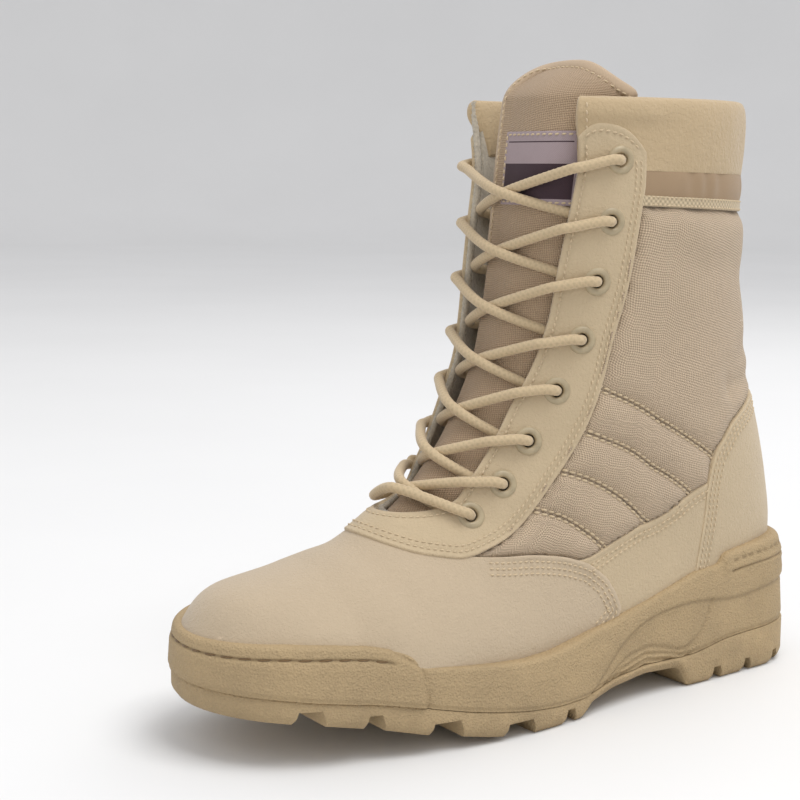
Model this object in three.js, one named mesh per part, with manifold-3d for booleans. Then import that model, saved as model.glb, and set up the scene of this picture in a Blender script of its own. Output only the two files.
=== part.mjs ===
// Combat boot, left foot.
// Millimetres, +X to the toe, +Y to the outer (lateral) side, +Z up, floor at z = 0.
import * as THREE from 'three';
import { mergeVertices } from 'three/addons/utils/BufferGeometryUtils.js';
import Module from 'manifold-3d';

const wasm = await Module();
wasm.setup();

// ---------------------------------------------------------------- driving sizes
const GAP = 0.3;                 // clearance between pieces that meet
const HEEL_END = -149;           // back of the sole
const TOE_END = 147;             // front of the sole
const HEEL_ARC = 34;             // length of the round heel end of the sole
const TOE_ARC = 52;              // length of the round toe end of the sole
const LUG_EDGE = 3;              // bevel around the foot of the lugs
const CHANNEL_DEPTH = 6;         // depth of the tread channels

const TOE_BASE = 95;             // last table section of the upper, before the toe dome
const TOE_REACH = 142;           // front of the upper
const TOE_HEIGHT = 38;           // height of the foremost point of the upper
const TOE_DRIFT = -3;            // sideways drift of the toe towards the big toe

const INSOLE_THICKNESS = 4;
const TONGUE_THICKNESS = 6;
const TONGUE_RISE = 17;          // tongue above the collar
const TONGUE_LEAN = 20;          // backward lean of its top
const TONGUE_TURN = 0.06;        // turn of its middle towards the lateral side
const TONGUE_INSET = 1;          // space between tongue and the inside of the upper
const EYELET_BORE = 5.4;
const EYELET_BARREL = 7.2;
const EYELET_FLANGE = 11.6;
const EYELET_PROUD = 1.3;        // flange thickness
const EYELET_CLINCH = 0.5;       // length of the barrel inside the wall
const EYELET_SIDES = 10;
const LACE_RADIUS = 2;
const LACE_OVER = 4.6;           // lace above the leather where it lies on an eyelet
const BAR_OVER = 5.4;            // the same for the straight bar

// ---------------------------------------------------------------- design tables
// Sections of the last, from the collar round the ankle to the ball of the foot.
// xf, zf: front point; xb, zb: back or bottom point; lat, med: half widths;
// peak: where along the section it is widest; nf, nb: squareness of front and back; wall.
const LAST = [
  { xf: 1, zf: 246, xb: -117.5, zb: 246, lat: 39.5, med: 39.5, peak: 0.5, nf: 2.8, nb: 2, wall: 6 },
  { xf: 2.5, zf: 224, xb: -116.5, zb: 222, lat: 39.5, med: 39.5, peak: 0.5, nf: 2.7, nb: 2, wall: 4.5 },
  { xf: 4.5, zf: 202, xb: -116, zb: 196, lat: 39.5, med: 39.5, peak: 0.5, nf: 2.6, nb: 2, wall: 4 },
  { xf: 7.5, zf: 180, xb: -116.5, zb: 170, lat: 39, med: 39, peak: 0.5, nf: 2.5, nb: 2, wall: 4 },
  { xf: 11, zf: 160, xb: -119.5, zb: 146, lat: 38, med: 38, peak: 0.5, nf: 2.4, nb: 2.1, wall: 4 },
  { xf: 16, zf: 142, xb: -125.5, zb: 122, lat: 37.5, med: 37, peak: 0.5, nf: 2.3, nb: 2.2, wall: 4 },
  { xf: 24, zf: 126, xb: -132, zb: 102, lat: 37, med: 36.5, peak: 0.49, nf: 2.2, nb: 2.3, wall: 3.8 },
  { xf: 33, zf: 112, xb: -138, zb: 82, lat: 36.5, med: 36, peak: 0.48, nf: 2.1, nb: 2.3, wall: 3.4 },
  { xf: 43, zf: 100, xb: -142, zb: 60, lat: 36, med: 35, peak: 0.48, nf: 2.1, nb: 2.3, wall: 3 },
  { xf: 53, zf: 90.5, xb: -139, zb: 38, lat: 36, med: 34.5, peak: 0.48, nf: 2, nb: 2.3, wall: 2.8 },
  { xf: 63, zf: 83, xb: -118, zb: 20, lat: 37.5, med: 34.5, peak: 0.5, nf: 2, nb: 2.3, wall: 2.6 },
  { xf: 72, zf: 77, xb: -62, zb: 12, lat: 40.5, med: 36.5, peak: 0.55, nf: 1.95, nb: 2.2, wall: 2.6 },
  { xf: 80, zf: 72.5, xb: 10, zb: 4, lat: 46, med: 42, peak: 0.6, nf: 1.95, nb: 2.2, wall: 2.6 },
  { xf: 88, zf: 69, xb: 62, zb: 2, lat: 47.5, med: 46, peak: 0.62, nf: 1.95, nb: 2.2, wall: 2.6 },
  { xf: 95, zf: 66.5, xb: 95, zb: 6, lat: 41.5, med: 45.5, peak: 0.62, nf: 2.1, nb: 2.2, wall: 2.6 },
];
const BALL = LAST.length - 1;
const TOE_ROWS = 5;              // section numbers that the toe dome takes after the ball

// The sole along its length. lat, med: half widths; bottom: underside; part: top of the
// tread layer; top: upper edge of the side wall; bed: platform under the insole;
// lean: how far the side wall leans in at its top.
const SOLE = [
  { x: -149, lat: 34.5, med: 32, bottom: 3, part: 19, top: 57, bed: 33, lean: 5 },
  { x: -128, lat: 34.5, med: 32, bottom: 0, part: 18.5, top: 57, bed: 33, lean: 4.5 },
  { x: -115, lat: 35.5, med: 33, bottom: 0, part: 18, top: 56.5, bed: 33, lean: 3.5 },
  { x: -100, lat: 37, med: 34.5, bottom: 0, part: 17.5, top: 55.5, bed: 33, lean: 2.5 },
  { x: -92, lat: 38, med: 35.5, bottom: 0, part: 17, top: 54.5, bed: 32.5, lean: 2 },
  { x: -89, lat: 38.3, med: 35.7, bottom: 0, part: 16.5, top: 50.3, bed: 32.5, lean: 1.8 },
  { x: -75, lat: 39.3, med: 36, bottom: 0, part: 14, top: 49.3, bed: 31, lean: 1.6 },
  { x: -70, lat: 39.5, med: 36.5, bottom: 0, part: 13.5, top: 48, bed: 30.5, lean: 1.6 },
  { x: -65, lat: 39.8, med: 37, bottom: 9, part: 13.5, top: 46.6, bed: 29.5, lean: 1.4 },
  { x: -45, lat: 41, med: 38, bottom: 10, part: 14, top: 41, bed: 26, lean: 1.4 },
  { x: -25, lat: 44, med: 40, bottom: 8, part: 12, top: 36.4, bed: 22, lean: 1.4 },
  { x: -12, lat: 46.8, med: 42, bottom: 5, part: 9.5, top: 34.2, bed: 20, lean: 1.4 },
  { x: -6, lat: 48.2, med: 43, bottom: 0, part: 8.5, top: 33, bed: 19, lean: 1.4 },
  { x: 10, lat: 51, med: 46, bottom: 0, part: 8.5, top: 30.2, bed: 18, lean: 1.4 },
  { x: 25, lat: 52.5, med: 49, bottom: 0, part: 9.8, top: 29.6, bed: 18, lean: 1.4 },
  { x: 40, lat: 53, med: 51, bottom: 1.8, part: 12, top: 30.6, bed: 18.5, lean: 1.4 },
  { x: 55, lat: 52.5, med: 52, bottom: 4.6, part: 14.8, top: 32, bed: 20, lean: 1.4 },
  { x: 73, lat: 50.5, med: 52, bottom: 8, part: 18.8, top: 34, bed: 22.5, lean: 1.6 },
  { x: 78, lat: 49.5, med: 51.5, bottom: 9.2, part: 19.8, top: 39, bed: 23, lean: 2 },
  { x: 86, lat: 47.5, med: 51, bottom: 11, part: 21.4, top: 42.2, bed: 24, lean: 2.2 },
  { x: 95, lat: 45, med: 49.5, bottom: 13, part: 22.8, top: 44.2, bed: 26.5, lean: 2.4 },
  { x: 108, lat: 45, med: 49.5, bottom: 15.5, part: 24.8, top: 45.8, bed: 28.5, lean: 2.4 },
  { x: 125, lat: 45, med: 49.5, bottom: 17.5, part: 27, top: 46.6, bed: 31, lean: 2.4 },
  { x: 147, lat: 45, med: 49.5, bottom: 19, part: 28.5, top: 46, bed: 32, lean: 2.4 },
];

// Channels across the tread: x of the middle and width at the floor.
const CHANNELS = [
  { x: 116.5, width: 13 }, { x: 92, width: 10 }, { x: 63.5, width: 16 }, { x: 29.5, width: 17 },
  { x: 2.5, width: 9 }, { x: -87.5, width: 9 }, { x: -107.5, width: 8 }, { x: -127.5, width: 8 },
];

// Half width of the throat opening at sections of the last, and its round lower end.
const THROAT = [
  { v: -1, half: 32.5 }, { v: 0, half: 32 }, { v: 1, half: 31 }, { v: 2, half: 29 }, { v: 3, half: 27 },
  { v: 4, half: 25.5 }, { v: 5, half: 23 }, { v: 6, half: 20.5 }, { v: 7, half: 19.5 }, { v: 8, half: 19 },
  { v: 9, half: 18.5 }, { v: 10, half: 18 },
];
const THROAT_END = 9.9;
const THROAT_ROUND = 1.3;        // sections over which the lower end closes

// Eyelets: section number and distance along the leather from the throat edge.
const EYELETS = [
  { v: 1.1, off: 17 }, { v: 2.15, off: 17.5 }, { v: 3.2, off: 16.5 }, { v: 4.35, off: 15.5 },
  { v: 5.5, off: 14 }, { v: 6.8, off: 13 }, { v: 8.05, off: 13 }, { v: 9.2, off: 13 },
];

// ---------------------------------------------------------------- interpolation
function lerp(a, b, t) {
  return a + (b - a) * t;
}

function readLinear(table, key, at, column) {
  const last = table.length - 1;
  let i = 0;
  while (i < last - 1 && table[i + 1][key] < at) i += 1;
  const t = (at - table[i][key]) / (table[i + 1][key] - table[i][key]);
  return lerp(table[i][column], table[i + 1][column], Math.min(1, Math.max(0, t)));
}

function hermite(a, b, c, d, t) {
  const m0 = (c - a) / 2;
  const m1 = (d - b) / 2;
  const t2 = t * t;
  const t3 = t2 * t;
  return (2 * t3 - 3 * t2 + 1) * b + (t3 - 2 * t2 + t) * m0 + (3 * t2 - 2 * t3) * c + (t3 - t2) * m1;
}

function readSection(v, column) {
  const i = Math.min(BALL - 1, Math.max(0, Math.floor(v)));
  const b = LAST[i][column];
  const c = LAST[i + 1][column];
  const a = i > 0 ? LAST[i - 1][column] : 2 * b - c;
  const d = i < BALL - 1 ? LAST[i + 2][column] : 2 * c - b;
  return v < 0 ? b + (c - b) * v : hermite(a, b, c, d, v - i);
}

// ---------------------------------------------------------------- form of the last
// Section v: 0 at the collar, BALL at the ball of the foot, then the toe dome.
function section(v) {
  const row = {};
  const vv = Math.min(v, BALL);
  for (const column of Object.keys(LAST[0])) row[column] = readSection(vv, column);
  row.yc = 0;
  if (v > BALL) {
    const turn = Math.min(1, (v - BALL) / TOE_ROWS) * Math.PI / 2;
    const r = Math.sin(turn);
    const fall = (1 - 0.38 * r) * Math.sqrt(Math.max(0, 1 - r ** 5));
    const x = TOE_BASE + (TOE_REACH - TOE_BASE) * r;
    row.yc = TOE_DRIFT * r * r;
    row.lat *= Math.cos(turn);
    row.med *= Math.cos(turn);
    row.zf = TOE_HEIGHT + (row.zf - TOE_HEIGHT) * fall;
    row.zb = TOE_HEIGHT + (row.zb - TOE_HEIGHT) * Math.sqrt(Math.max(0, 1 - r ** 3));
    row.xf = x;
    row.xb = x;
  }
  return row;
}

// Point of the form: t is 0 at the front, +PI / 2 at the lateral side, PI at the back.
function formPoint(v, t) {
  const s = section(v);
  const c = Math.cos(t);
  const w = Math.sin(t);
  const n = c > 0 ? s.nf : s.nb;
  const reach = Math.abs(c) ** (2 / n);
  const along = c > 0 ? s.peak * (1 - reach) : s.peak + (1 - s.peak) * reach;
  const half = w > 0 ? s.lat : s.med;
  const y = s.yc + Math.sign(w) * half * Math.abs(w) ** (2 / n);
  return new THREE.Vector3(lerp(s.xf, s.xb, along), y, lerp(s.zf, s.zb, along));
}

function formNormal(v, t) {
  const dv = 0.02;
  const dt = 0.01;
  const vMid = Math.min(v, BALL + TOE_ROWS - 0.1);
  const alongV = formPoint(vMid + dv, t).sub(formPoint(vMid - dv, t));
  const alongT = formPoint(vMid, t + dt).sub(formPoint(vMid, t - dt));
  return alongV.cross(alongT).normalize();
}

// Surface of the form moved inwards by inset; the normal points outwards.
function surface(v, t, inset) {
  return formPoint(v, t).addScaledVector(formNormal(v, t), -inset);
}

// Turn t at which section v is y away from the middle, on the front half.
function turnAt(v, y) {
  const s = section(v);
  const half = y > 0 ? s.lat : s.med;
  const ratio = Math.min(1, Math.abs(y) / half);
  return Math.sign(y) * Math.asin(ratio ** (s.nf / 2));
}

function throatHalf(v) {
  const left = Math.max(0, THROAT_END - v) / THROAT_ROUND;
  const round = left < 1 ? Math.sqrt(Math.max(0, 1 - (1 - left) ** 2)) : 1;
  return readLinear(THROAT, 'v', v, 'half') * round;
}

// Turn t at a distance along the leather from the throat edge; side is 1 lateral, -1 medial.
function turnFromEdge(v, distance, side) {
  let t = turnAt(v, throatHalf(v));
  let here = formPoint(v, t);
  let gone = 0;
  const step = 0.002;
  while (gone < distance) {
    t += step;
    const next = formPoint(v, t);
    gone += next.distanceTo(here);
    here = next;
  }
  return side * t;
}

// ---------------------------------------------------------------- closed meshes
function meshGeometry(points, faces) {
  const geometry = new THREE.BufferGeometry();
  geometry.setAttribute('position', new THREE.Float32BufferAttribute(points.flatMap((p) => p.toArray()), 3));
  let volume = 0;
  for (let i = 0; i < faces.length; i += 3) {
    const [a, b, c] = [points[faces[i]], points[faces[i + 1]], points[faces[i + 2]]];
    volume += a.dot(new THREE.Vector3().crossVectors(b, c));
  }
  const facing = volume > 0 ? faces : faces.toReversed();
  geometry.setIndex(facing);
  return geometry;
}

// Closed body through rings of points; each end is closed by a fan to its middle.
function loft(rings) {
  const points = rings.flat();
  const faces = [];
  const n = rings[0].length;
  for (let j = 0; j < rings.length - 1; j += 1) {
    for (let i = 0; i < n; i += 1) {
      const a = j * n + i;
      const b = j * n + ((i + 1) % n);
      faces.push(a, b, a + n, b, b + n, a + n);
    }
  }
  for (const [j, flip] of [[0, true], [rings.length - 1, false]]) {
    const middle = rings[j].reduce((sum, p) => sum.add(p), new THREE.Vector3()).divideScalar(n);
    points.push(middle);
    for (let i = 0; i < n; i += 1) {
      const a = j * n + i;
      const b = j * n + ((i + 1) % n);
      if (flip) faces.push(b, a, points.length - 1);
      else faces.push(a, b, points.length - 1);
    }
  }
  return meshGeometry(points, faces);
}

// Closed slab between two grids of points with the same rows and columns.
function slab(front, back) {
  const rows = front.length;
  const cols = front[0].length;
  const points = [...front.flat(), ...back.flat()];
  const under = rows * cols;
  const faces = [];
  for (let j = 0; j < rows - 1; j += 1) {
    for (let i = 0; i < cols - 1; i += 1) {
      const a = j * cols + i;
      faces.push(a, a + 1, a + cols, a + 1, a + cols + 1, a + cols);
      faces.push(under + a + 1, under + a, under + a + cols);
      faces.push(under + a + cols + 1, under + a + 1, under + a + cols);
    }
  }
  const rim = [];
  for (let i = 0; i < cols - 1; i += 1) rim.push(i);
  for (let j = 0; j < rows - 1; j += 1) rim.push(j * cols + cols - 1);
  for (let i = cols - 1; i > 0; i -= 1) rim.push((rows - 1) * cols + i);
  for (let j = rows - 1; j > 0; j -= 1) rim.push(j * cols);
  rim.forEach((a, k) => {
    const b = rim[(k + 1) % rim.length];
    faces.push(b, a, under + a, b, under + a, under + b);
  });
  return meshGeometry(points, faces);
}

function solid(geometry) {
  const plain = geometry.clone();
  plain.deleteAttribute('normal');
  plain.deleteAttribute('uv');
  const merged = mergeVertices(plain, 1e-4);
  return new wasm.Manifold(new wasm.Mesh({
    numProp: 3,
    vertProperties: new Float32Array(merged.attributes.position.array),
    triVerts: new Uint32Array(merged.index.array),
  }));
}

function geometryOf(body) {
  const mesh = body.getMesh();
  const geometry = new THREE.BufferGeometry();
  geometry.setAttribute('position', new THREE.BufferAttribute(mesh.vertProperties, 3));
  geometry.setIndex(new THREE.BufferAttribute(mesh.triVerts, 1));
  return geometry;
}

function steps(from, to, count) {
  return Array.from({ length: count + 1 }, (_, i) => lerp(from, to, i / count));
}

// ---------------------------------------------------------------- sole
// Stations along the sole, close together where its ends are round.
const STATIONS = [
  ...steps(-Math.PI / 2, 0, 8).map((a) => HEEL_END + HEEL_ARC + HEEL_ARC * Math.sin(a)),
  ...SOLE.filter((row) => row.x > HEEL_END + HEEL_ARC && row.x < TOE_END - TOE_ARC).map((row) => row.x),
  ...steps(0, Math.PI / 2, 9).map((a) => TOE_END - TOE_ARC + TOE_ARC * Math.sin(a)),
];

function outline(x, side) {
  let y = readLinear(SOLE, 'x', x, side > 0 ? 'lat' : 'med');
  const heel = Math.max(0, (HEEL_END + HEEL_ARC - x) / HEEL_ARC);
  const toe = Math.max(0, (x - TOE_END + TOE_ARC) / TOE_ARC);
  y *= Math.sqrt(Math.max(0, 1 - heel ** 2.3)) * Math.sqrt(Math.max(0, 1 - toe ** 2.1));
  const drift = TOE_DRIFT * toe * toe;
  return side * y + drift;
}

// Outline loop of the sole moved inwards by inset: heel, lateral side, toe, medial side.
function soleLoop(inset, height) {
  const lateral = STATIONS.map((x) => new THREE.Vector3(x, outline(x, 1), 0));
  const medial = STATIONS.slice(1, -1).map((x) => new THREE.Vector3(x, outline(x, -1), 0));
  const loop = [...lateral, ...medial.reverse()];
  const n = loop.length;
  return loop.map((p, i) => {
    const along = loop[(i + 1) % n].clone().sub(loop[(i + n - 1) % n]).normalize();
    const by = inset(p.x);
    return new THREE.Vector3(p.x + along.y * by, p.y - along.x * by, height(p.x));
  });
}

// Body between levels of the sole outline; top and bottom are strips across the sole.
function soleBody(levels) {
  const loops = levels.map((level) => soleLoop(level.inset, level.height));
  const n = loops[0].length;
  const points = loops.flat();
  const faces = [];
  for (let j = 0; j < loops.length - 1; j += 1) {
    for (let i = 0; i < n; i += 1) {
      const a = j * n + i;
      const b = j * n + ((i + 1) % n);
      faces.push(a, b, a + n, b, b + n, a + n);
    }
  }
  const last = STATIONS.length - 1;
  for (const [j, flip] of [[0, true], [loops.length - 1, false]]) {
    for (let i = 0; i < last; i += 1) {
      const a = j * n + i;
      const b = j * n + i + 1;
      const c = j * n + (n - i - 1) % n;
      const d = j * n + (n - i) % n;
      const strip = [];
      if (i > 0) strip.push(a, c, d);
      if (i < last - 1) strip.push(a, b, c);
      if (i === 0) strip.splice(0, strip.length, a, b, c);
      if (i === last - 1) strip.splice(0, strip.length, a, b, d);
      faces.push(...(flip ? strip.toReversed() : strip));
    }
  }
  return solid(meshGeometry(points, faces));
}

function soleHeight(column, plus = 0) {
  return (x) => readLinear(SOLE, 'x', x, column) + plus;
}

function soleLean(share) {
  return (x) => share * readLinear(SOLE, 'x', x, 'lean');
}

// Everything under the platform, wider than the boot.
function belowBed(plus) {
  const wide = () => -25;
  return soleBody([{ inset: wide, height: () => -60 }, { inset: wide, height: soleHeight('bed', plus) }]);
}

function channelCutter({ x, width }) {
  const reach = 80;
  const floor = readLinear(SOLE, 'x', x, 'bottom');
  const shape = new THREE.Shape();
  shape.moveTo(x - width / 2 - 2, floor - 8);
  shape.lineTo(x + width / 2 + 2, floor - 8);
  shape.lineTo(x + width / 2 - 2.5, floor + CHANNEL_DEPTH);
  shape.lineTo(x - width / 2 + 2.5, floor + CHANNEL_DEPTH);
  const geometry = new THREE.ExtrudeGeometry(shape, { depth: 2 * reach, bevelEnabled: false });
  geometry.rotateX(Math.PI / 2);
  geometry.translate(0, reach, 0);
  return solid(geometry);
}

function makeOutsole() {
  let body = soleBody([
    { inset: () => LUG_EDGE, height: soleHeight('bottom') },
    { inset: () => 0.6, height: soleHeight('bottom', LUG_EDGE) },
    { inset: () => 0.6, height: soleHeight('part') },
  ]);
  for (const channel of CHANNELS) body = body.subtract(channelCutter(channel));
  return body;
}

// ---------------------------------------------------------------- upper and insole
const TURNS = 32;

function sectionNumbers(from, perRow, toeSteps) {
  const list = steps(from, BALL, Math.round((BALL - from) * perRow));
  return [...list, ...steps(BALL, BALL + TOE_ROWS - 0.12, toeSteps).slice(1)];
}

function form(from, perRow, toeSteps, turns, inset) {
  return solid(loft(sectionNumbers(from, perRow, toeSteps).map((v) => (
    Array.from({ length: turns }, (_, i) => surface(v, (i / turns) * 2 * Math.PI, inset(v)))
  ))));
}

function wallAt(v) {
  return readSection(Math.max(0, Math.min(v, BALL)), 'wall');
}

// Slab over the throat, through the wall of the upper.
function throatCutter() {
  const heights = [...steps(-1, THROAT_END - THROAT_ROUND, 12), ...steps(0, Math.PI / 2, 6).slice(1, -1)
    .map((a) => THROAT_END - THROAT_ROUND * (1 - Math.sin(a))), THROAT_END - 0.005];
  const across = steps(-1, 1, 4);
  const grid = (inset) => heights.map((v) => across.map((a) => {
    const turn = turnAt(v, Math.max(0.5, throatHalf(v)));
    return surface(v, a * turn, inset);
  }));
  return solid(slab(grid(-8), grid(13)));
}

const toDirection = (axis) => new THREE.Quaternion().setFromUnitVectors(new THREE.Vector3(0, 0, 1), axis);

function eyeletPlace(row, side) {
  const t = turnFromEdge(row.v, row.off, side);
  return { point: surface(row.v, t, 0), normal: formNormal(row.v, t), depth: wallAt(row.v) + EYELET_CLINCH };
}

function eyeletHole(place) {
  const length = 30;
  const geometry = new THREE.CylinderGeometry(EYELET_BARREL / 2 + GAP, EYELET_BARREL / 2 + GAP, length, EYELET_SIDES);
  geometry.rotateX(Math.PI / 2);
  geometry.applyQuaternion(toDirection(place.normal));
  geometry.translate(place.point.x, place.point.y, place.point.z);
  return solid(geometry);
}

// Inside of the upper; room is a space left between it and what lies in it.
function insideForm(room) {
  return form(-0.6, 1.25, 5, 26, (v) => wallAt(v) + room);
}

function makeUpper(outer, places) {
  let body = outer.subtract(insideForm(0));
  body = body.subtract(throatCutter());
  body = body.subtract(belowBed(GAP));
  for (const place of places) body = body.subtract(eyeletHole(place));
  return body;
}

function makeInsole() {
  const layer = belowBed(GAP + INSOLE_THICKNESS).subtract(belowBed(GAP));
  return insideForm(GAP).intersect(layer);
}

function makeMidsole() {
  const body = soleBody([
    { inset: () => 0.6, height: soleHeight('part', GAP) },
    { inset: () => 0, height: soleHeight('part', 2) },
    { inset: soleLean(0.3), height: (x) => lerp(soleHeight('part')(x), soleHeight('top')(x), 0.6) },
    { inset: soleLean(1), height: soleHeight('top') },
  ]);
  const grown = form(6, 1.5, 7, TURNS, () => -GAP);
  return body.subtract(grown.subtract(belowBed(0)));
}

// ---------------------------------------------------------------- tongue
// The tongue follows the inside of the upper, then leans back above the collar.
// reach: turn of the form that its edge comes to; rise: height of the row over the collar.
function tonguePoint(row, across, inset) {
  const p = surface(row.v, TONGUE_TURN + row.reach * across, wallAt(row.v) + inset);
  const lift = row.rise * (0.1 + 0.9 * (1 - across * across));
  p.z += TONGUE_RISE * lift;
  p.x -= TONGUE_LEAN * lift ** 1.5;
  return p;
}

function makeTongue() {
  const rows = [...steps(10.3, 0, 16).map((v) => ({ v, reach: lerp(1.32, 0.85, v / 10), rise: 0 })),
    ...steps(0, 1, 5).slice(1).map((rise) => ({ v: 0, reach: 1.32, rise }))];
  const across = steps(-1, 1, 8);
  const thick = (a) => TONGUE_THICKNESS * (1 - 0.5 * a * a);
  const front = rows.map((row) => across.map((a) => tonguePoint(row, a, TONGUE_INSET)));
  const back = rows.map((row) => across.map((a) => tonguePoint(row, a, TONGUE_INSET + thick(a))));
  return solid(slab(front, back));
}

// ---------------------------------------------------------------- eyelets and lace
function makeEyelet(place) {
  const proud = GAP + EYELET_PROUD;
  const profile = [
    [EYELET_BORE / 2, -place.depth], [EYELET_BARREL / 2, -place.depth], [EYELET_BARREL / 2, GAP + 0.1],
    [EYELET_FLANGE / 2, GAP + 0.1], [EYELET_FLANGE / 2 - 0.6, proud], [EYELET_BORE / 2, proud],
    [EYELET_BORE / 2, -place.depth],
  ].map(([r, z]) => new THREE.Vector2(r, z));
  const geometry = new THREE.LatheGeometry(profile, EYELET_SIDES);
  geometry.rotateX(Math.PI / 2);
  geometry.applyQuaternion(toDirection(place.normal));
  geometry.translate(place.point.x, place.point.y, place.point.z);
  return solid(geometry);
}

function laceTube(points, count) {
  const shape = new THREE.Shape();
  for (let i = 0; i < 6; i += 1) {
    const a = (i / 6) * 2 * Math.PI;
    const corner = [LACE_RADIUS * Math.cos(a), LACE_RADIUS * Math.sin(a)];
    if (i === 0) shape.moveTo(...corner);
    else shape.lineTo(...corner);
  }
  const extrudePath = new THREE.CatmullRomCurve3(points);
  return solid(new THREE.ExtrudeGeometry(shape, { steps: count, extrudePath, bevelEnabled: false }));
}

// A strand from inside the throat edge at the lower row, over the tongue, onto the upper eyelet.
function strand(lower, upper, side, lift) {
  const onForm = (v, y, inset) => surface(v, turnAt(v, y), inset);
  const edge = throatHalf(upper.v);
  const end = eyeletPlace(upper, -side);
  const middle = lerp(lower.v, upper.v, 0.5);
  return laceTube([
    onForm(lower.v - 0.35, side * (throatHalf(lower.v) - LACE_RADIUS - 1), 0.4),
    onForm(middle, 0, -1.2 - lift),
    onForm(lerp(middle, upper.v, 0.75), -side * (edge - 1), -LACE_RADIUS - 1.4),
    end.point.clone().addScaledVector(end.normal, LACE_OVER),
  ], 7);
}

function makeCrossing(k) {
  const upper = EYELETS[k - 1];
  const lower = EYELETS[k];
  return strand(lower, upper, 1, 2.6).add(strand(lower, upper, -1, 0));
}

function makeBar() {
  const row = EYELETS[EYELETS.length - 1];
  const [a, b] = [eyeletPlace(row, 1), eyeletPlace(row, -1)];
  const ends = [a, b].map((place) => place.point.clone().addScaledVector(place.normal, BAR_OVER));
  const middle = surface(row.v, 0, -BAR_OVER);
  return laceTube([ends[0], middle, ends[1]], 12);
}

// ---------------------------------------------------------------- assembly
const LOOKS = {
  suede: { color: 0xc9b58c, roughness: 0.95, metalness: 0 },
  nylon: { color: 0xb39c84, roughness: 0.9, metalness: 0 },
  rubber: { color: 0xb9a27a, roughness: 0.75, metalness: 0 },
  foam: { color: 0xa08c6c, roughness: 0.95, metalness: 0 },
  metal: { color: 0x9c8a70, roughness: 0.45, metalness: 0.6 },
  cord: { color: 0xb39c74, roughness: 0.9, metalness: 0 },
};

function piece(name, body, look) {
  const mesh = new THREE.Mesh(geometryOf(body), new THREE.MeshStandardMaterial(LOOKS[look]));
  mesh.name = name;
  return mesh;
}

function makeBoot() {
  const boot = new THREE.Group();
  const lateral = EYELETS.map((row) => eyeletPlace(row, 1));
  const medial = EYELETS.map((row) => eyeletPlace(row, -1));
  const outer = form(0, 1.5, 7, TURNS, () => 0);
  boot.add(piece('outsole', makeOutsole(), 'rubber'));
  boot.add(piece('midsole', makeMidsole(), 'rubber'));
  boot.add(piece('upper', makeUpper(outer, [...lateral, ...medial]), 'suede'));
  boot.add(piece('insole', makeInsole(), 'foam'));
  boot.add(piece('tongue', makeTongue(), 'nylon'));
  lateral.forEach((place, i) => boot.add(piece(`eyelet_lat_${i + 1}`, makeEyelet(place), 'metal')));
  medial.forEach((place, i) => boot.add(piece(`eyelet_med_${i + 1}`, makeEyelet(place), 'metal')));
  for (let k = 1; k < EYELETS.length; k += 1) boot.add(piece(`lace_cross_${k}`, makeCrossing(k), 'cord'));
  boot.add(piece('lace_bar', makeBar(), 'cord'));
  const middle = new THREE.Box3().setFromObject(boot).getCenter(new THREE.Vector3());
  boot.position.set(-middle.x, -middle.y, 0);
  return boot;
}

const boot = makeBoot();

export default boot;
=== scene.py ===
"""Combat boot, left foot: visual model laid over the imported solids.

Working sizes are millimetres in the frame of the last, the form inside the boot:
+X to the toe, +Y to the outer side, +Z up. to_scene() turns them into metres of
the shared frame.
"""
import math

import bpy
import bmesh
import numpy as np
from bpy.props import FloatProperty, FloatVectorProperty, PointerProperty
from mathutils import Matrix, Vector
from mathutils.bvhtree import BVHTree


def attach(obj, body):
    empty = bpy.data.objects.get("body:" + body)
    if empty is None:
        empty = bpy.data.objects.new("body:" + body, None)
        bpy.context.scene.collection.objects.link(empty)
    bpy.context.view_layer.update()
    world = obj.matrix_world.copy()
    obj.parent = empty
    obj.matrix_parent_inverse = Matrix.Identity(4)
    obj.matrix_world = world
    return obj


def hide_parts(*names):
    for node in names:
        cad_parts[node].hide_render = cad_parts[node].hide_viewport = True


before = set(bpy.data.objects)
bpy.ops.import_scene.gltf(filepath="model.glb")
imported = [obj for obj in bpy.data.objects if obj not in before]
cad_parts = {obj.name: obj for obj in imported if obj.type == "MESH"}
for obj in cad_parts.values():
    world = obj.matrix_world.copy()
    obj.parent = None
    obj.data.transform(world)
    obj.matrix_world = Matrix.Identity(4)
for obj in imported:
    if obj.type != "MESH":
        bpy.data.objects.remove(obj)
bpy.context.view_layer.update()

bl_info = {
    "name": "Combat Boot",
    "version": (1, 0, 0),
    "blender": (4, 5, 0),
    "location": "3D View > Sidebar > Boot",
    "description": "Lace-up combat boot made of suede panels, nylon and moulded rubber",
    "category": "Add Mesh",
}

# ---------------------------------------------------------------- frame of the last
ORIGIN = np.array([1.0, -0.5, 0.0])     # millimetres from the shared frame's origin to the last's
MM = 0.001


def to_scene(points):
    """Millimetres of the last's frame as metres of the shared frame."""
    return (np.asarray(points, float) + ORIGIN) * MM


def lerp(a, b, t):
    return a + (b - a) * t


def ease(t):
    t = np.clip(t, 0, 1)
    return t * t * (3 - 2 * t)


def rounded(t):
    """Quarter circle: 0 at 0, upright there, flat at 1."""
    return np.sqrt(1 - (1 - np.clip(t, 0, 1)) ** 2)


def bell(x, width):
    """1 at x = 0, falling away smoothly over about width."""
    return np.exp(-(x / width) ** 2)


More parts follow.
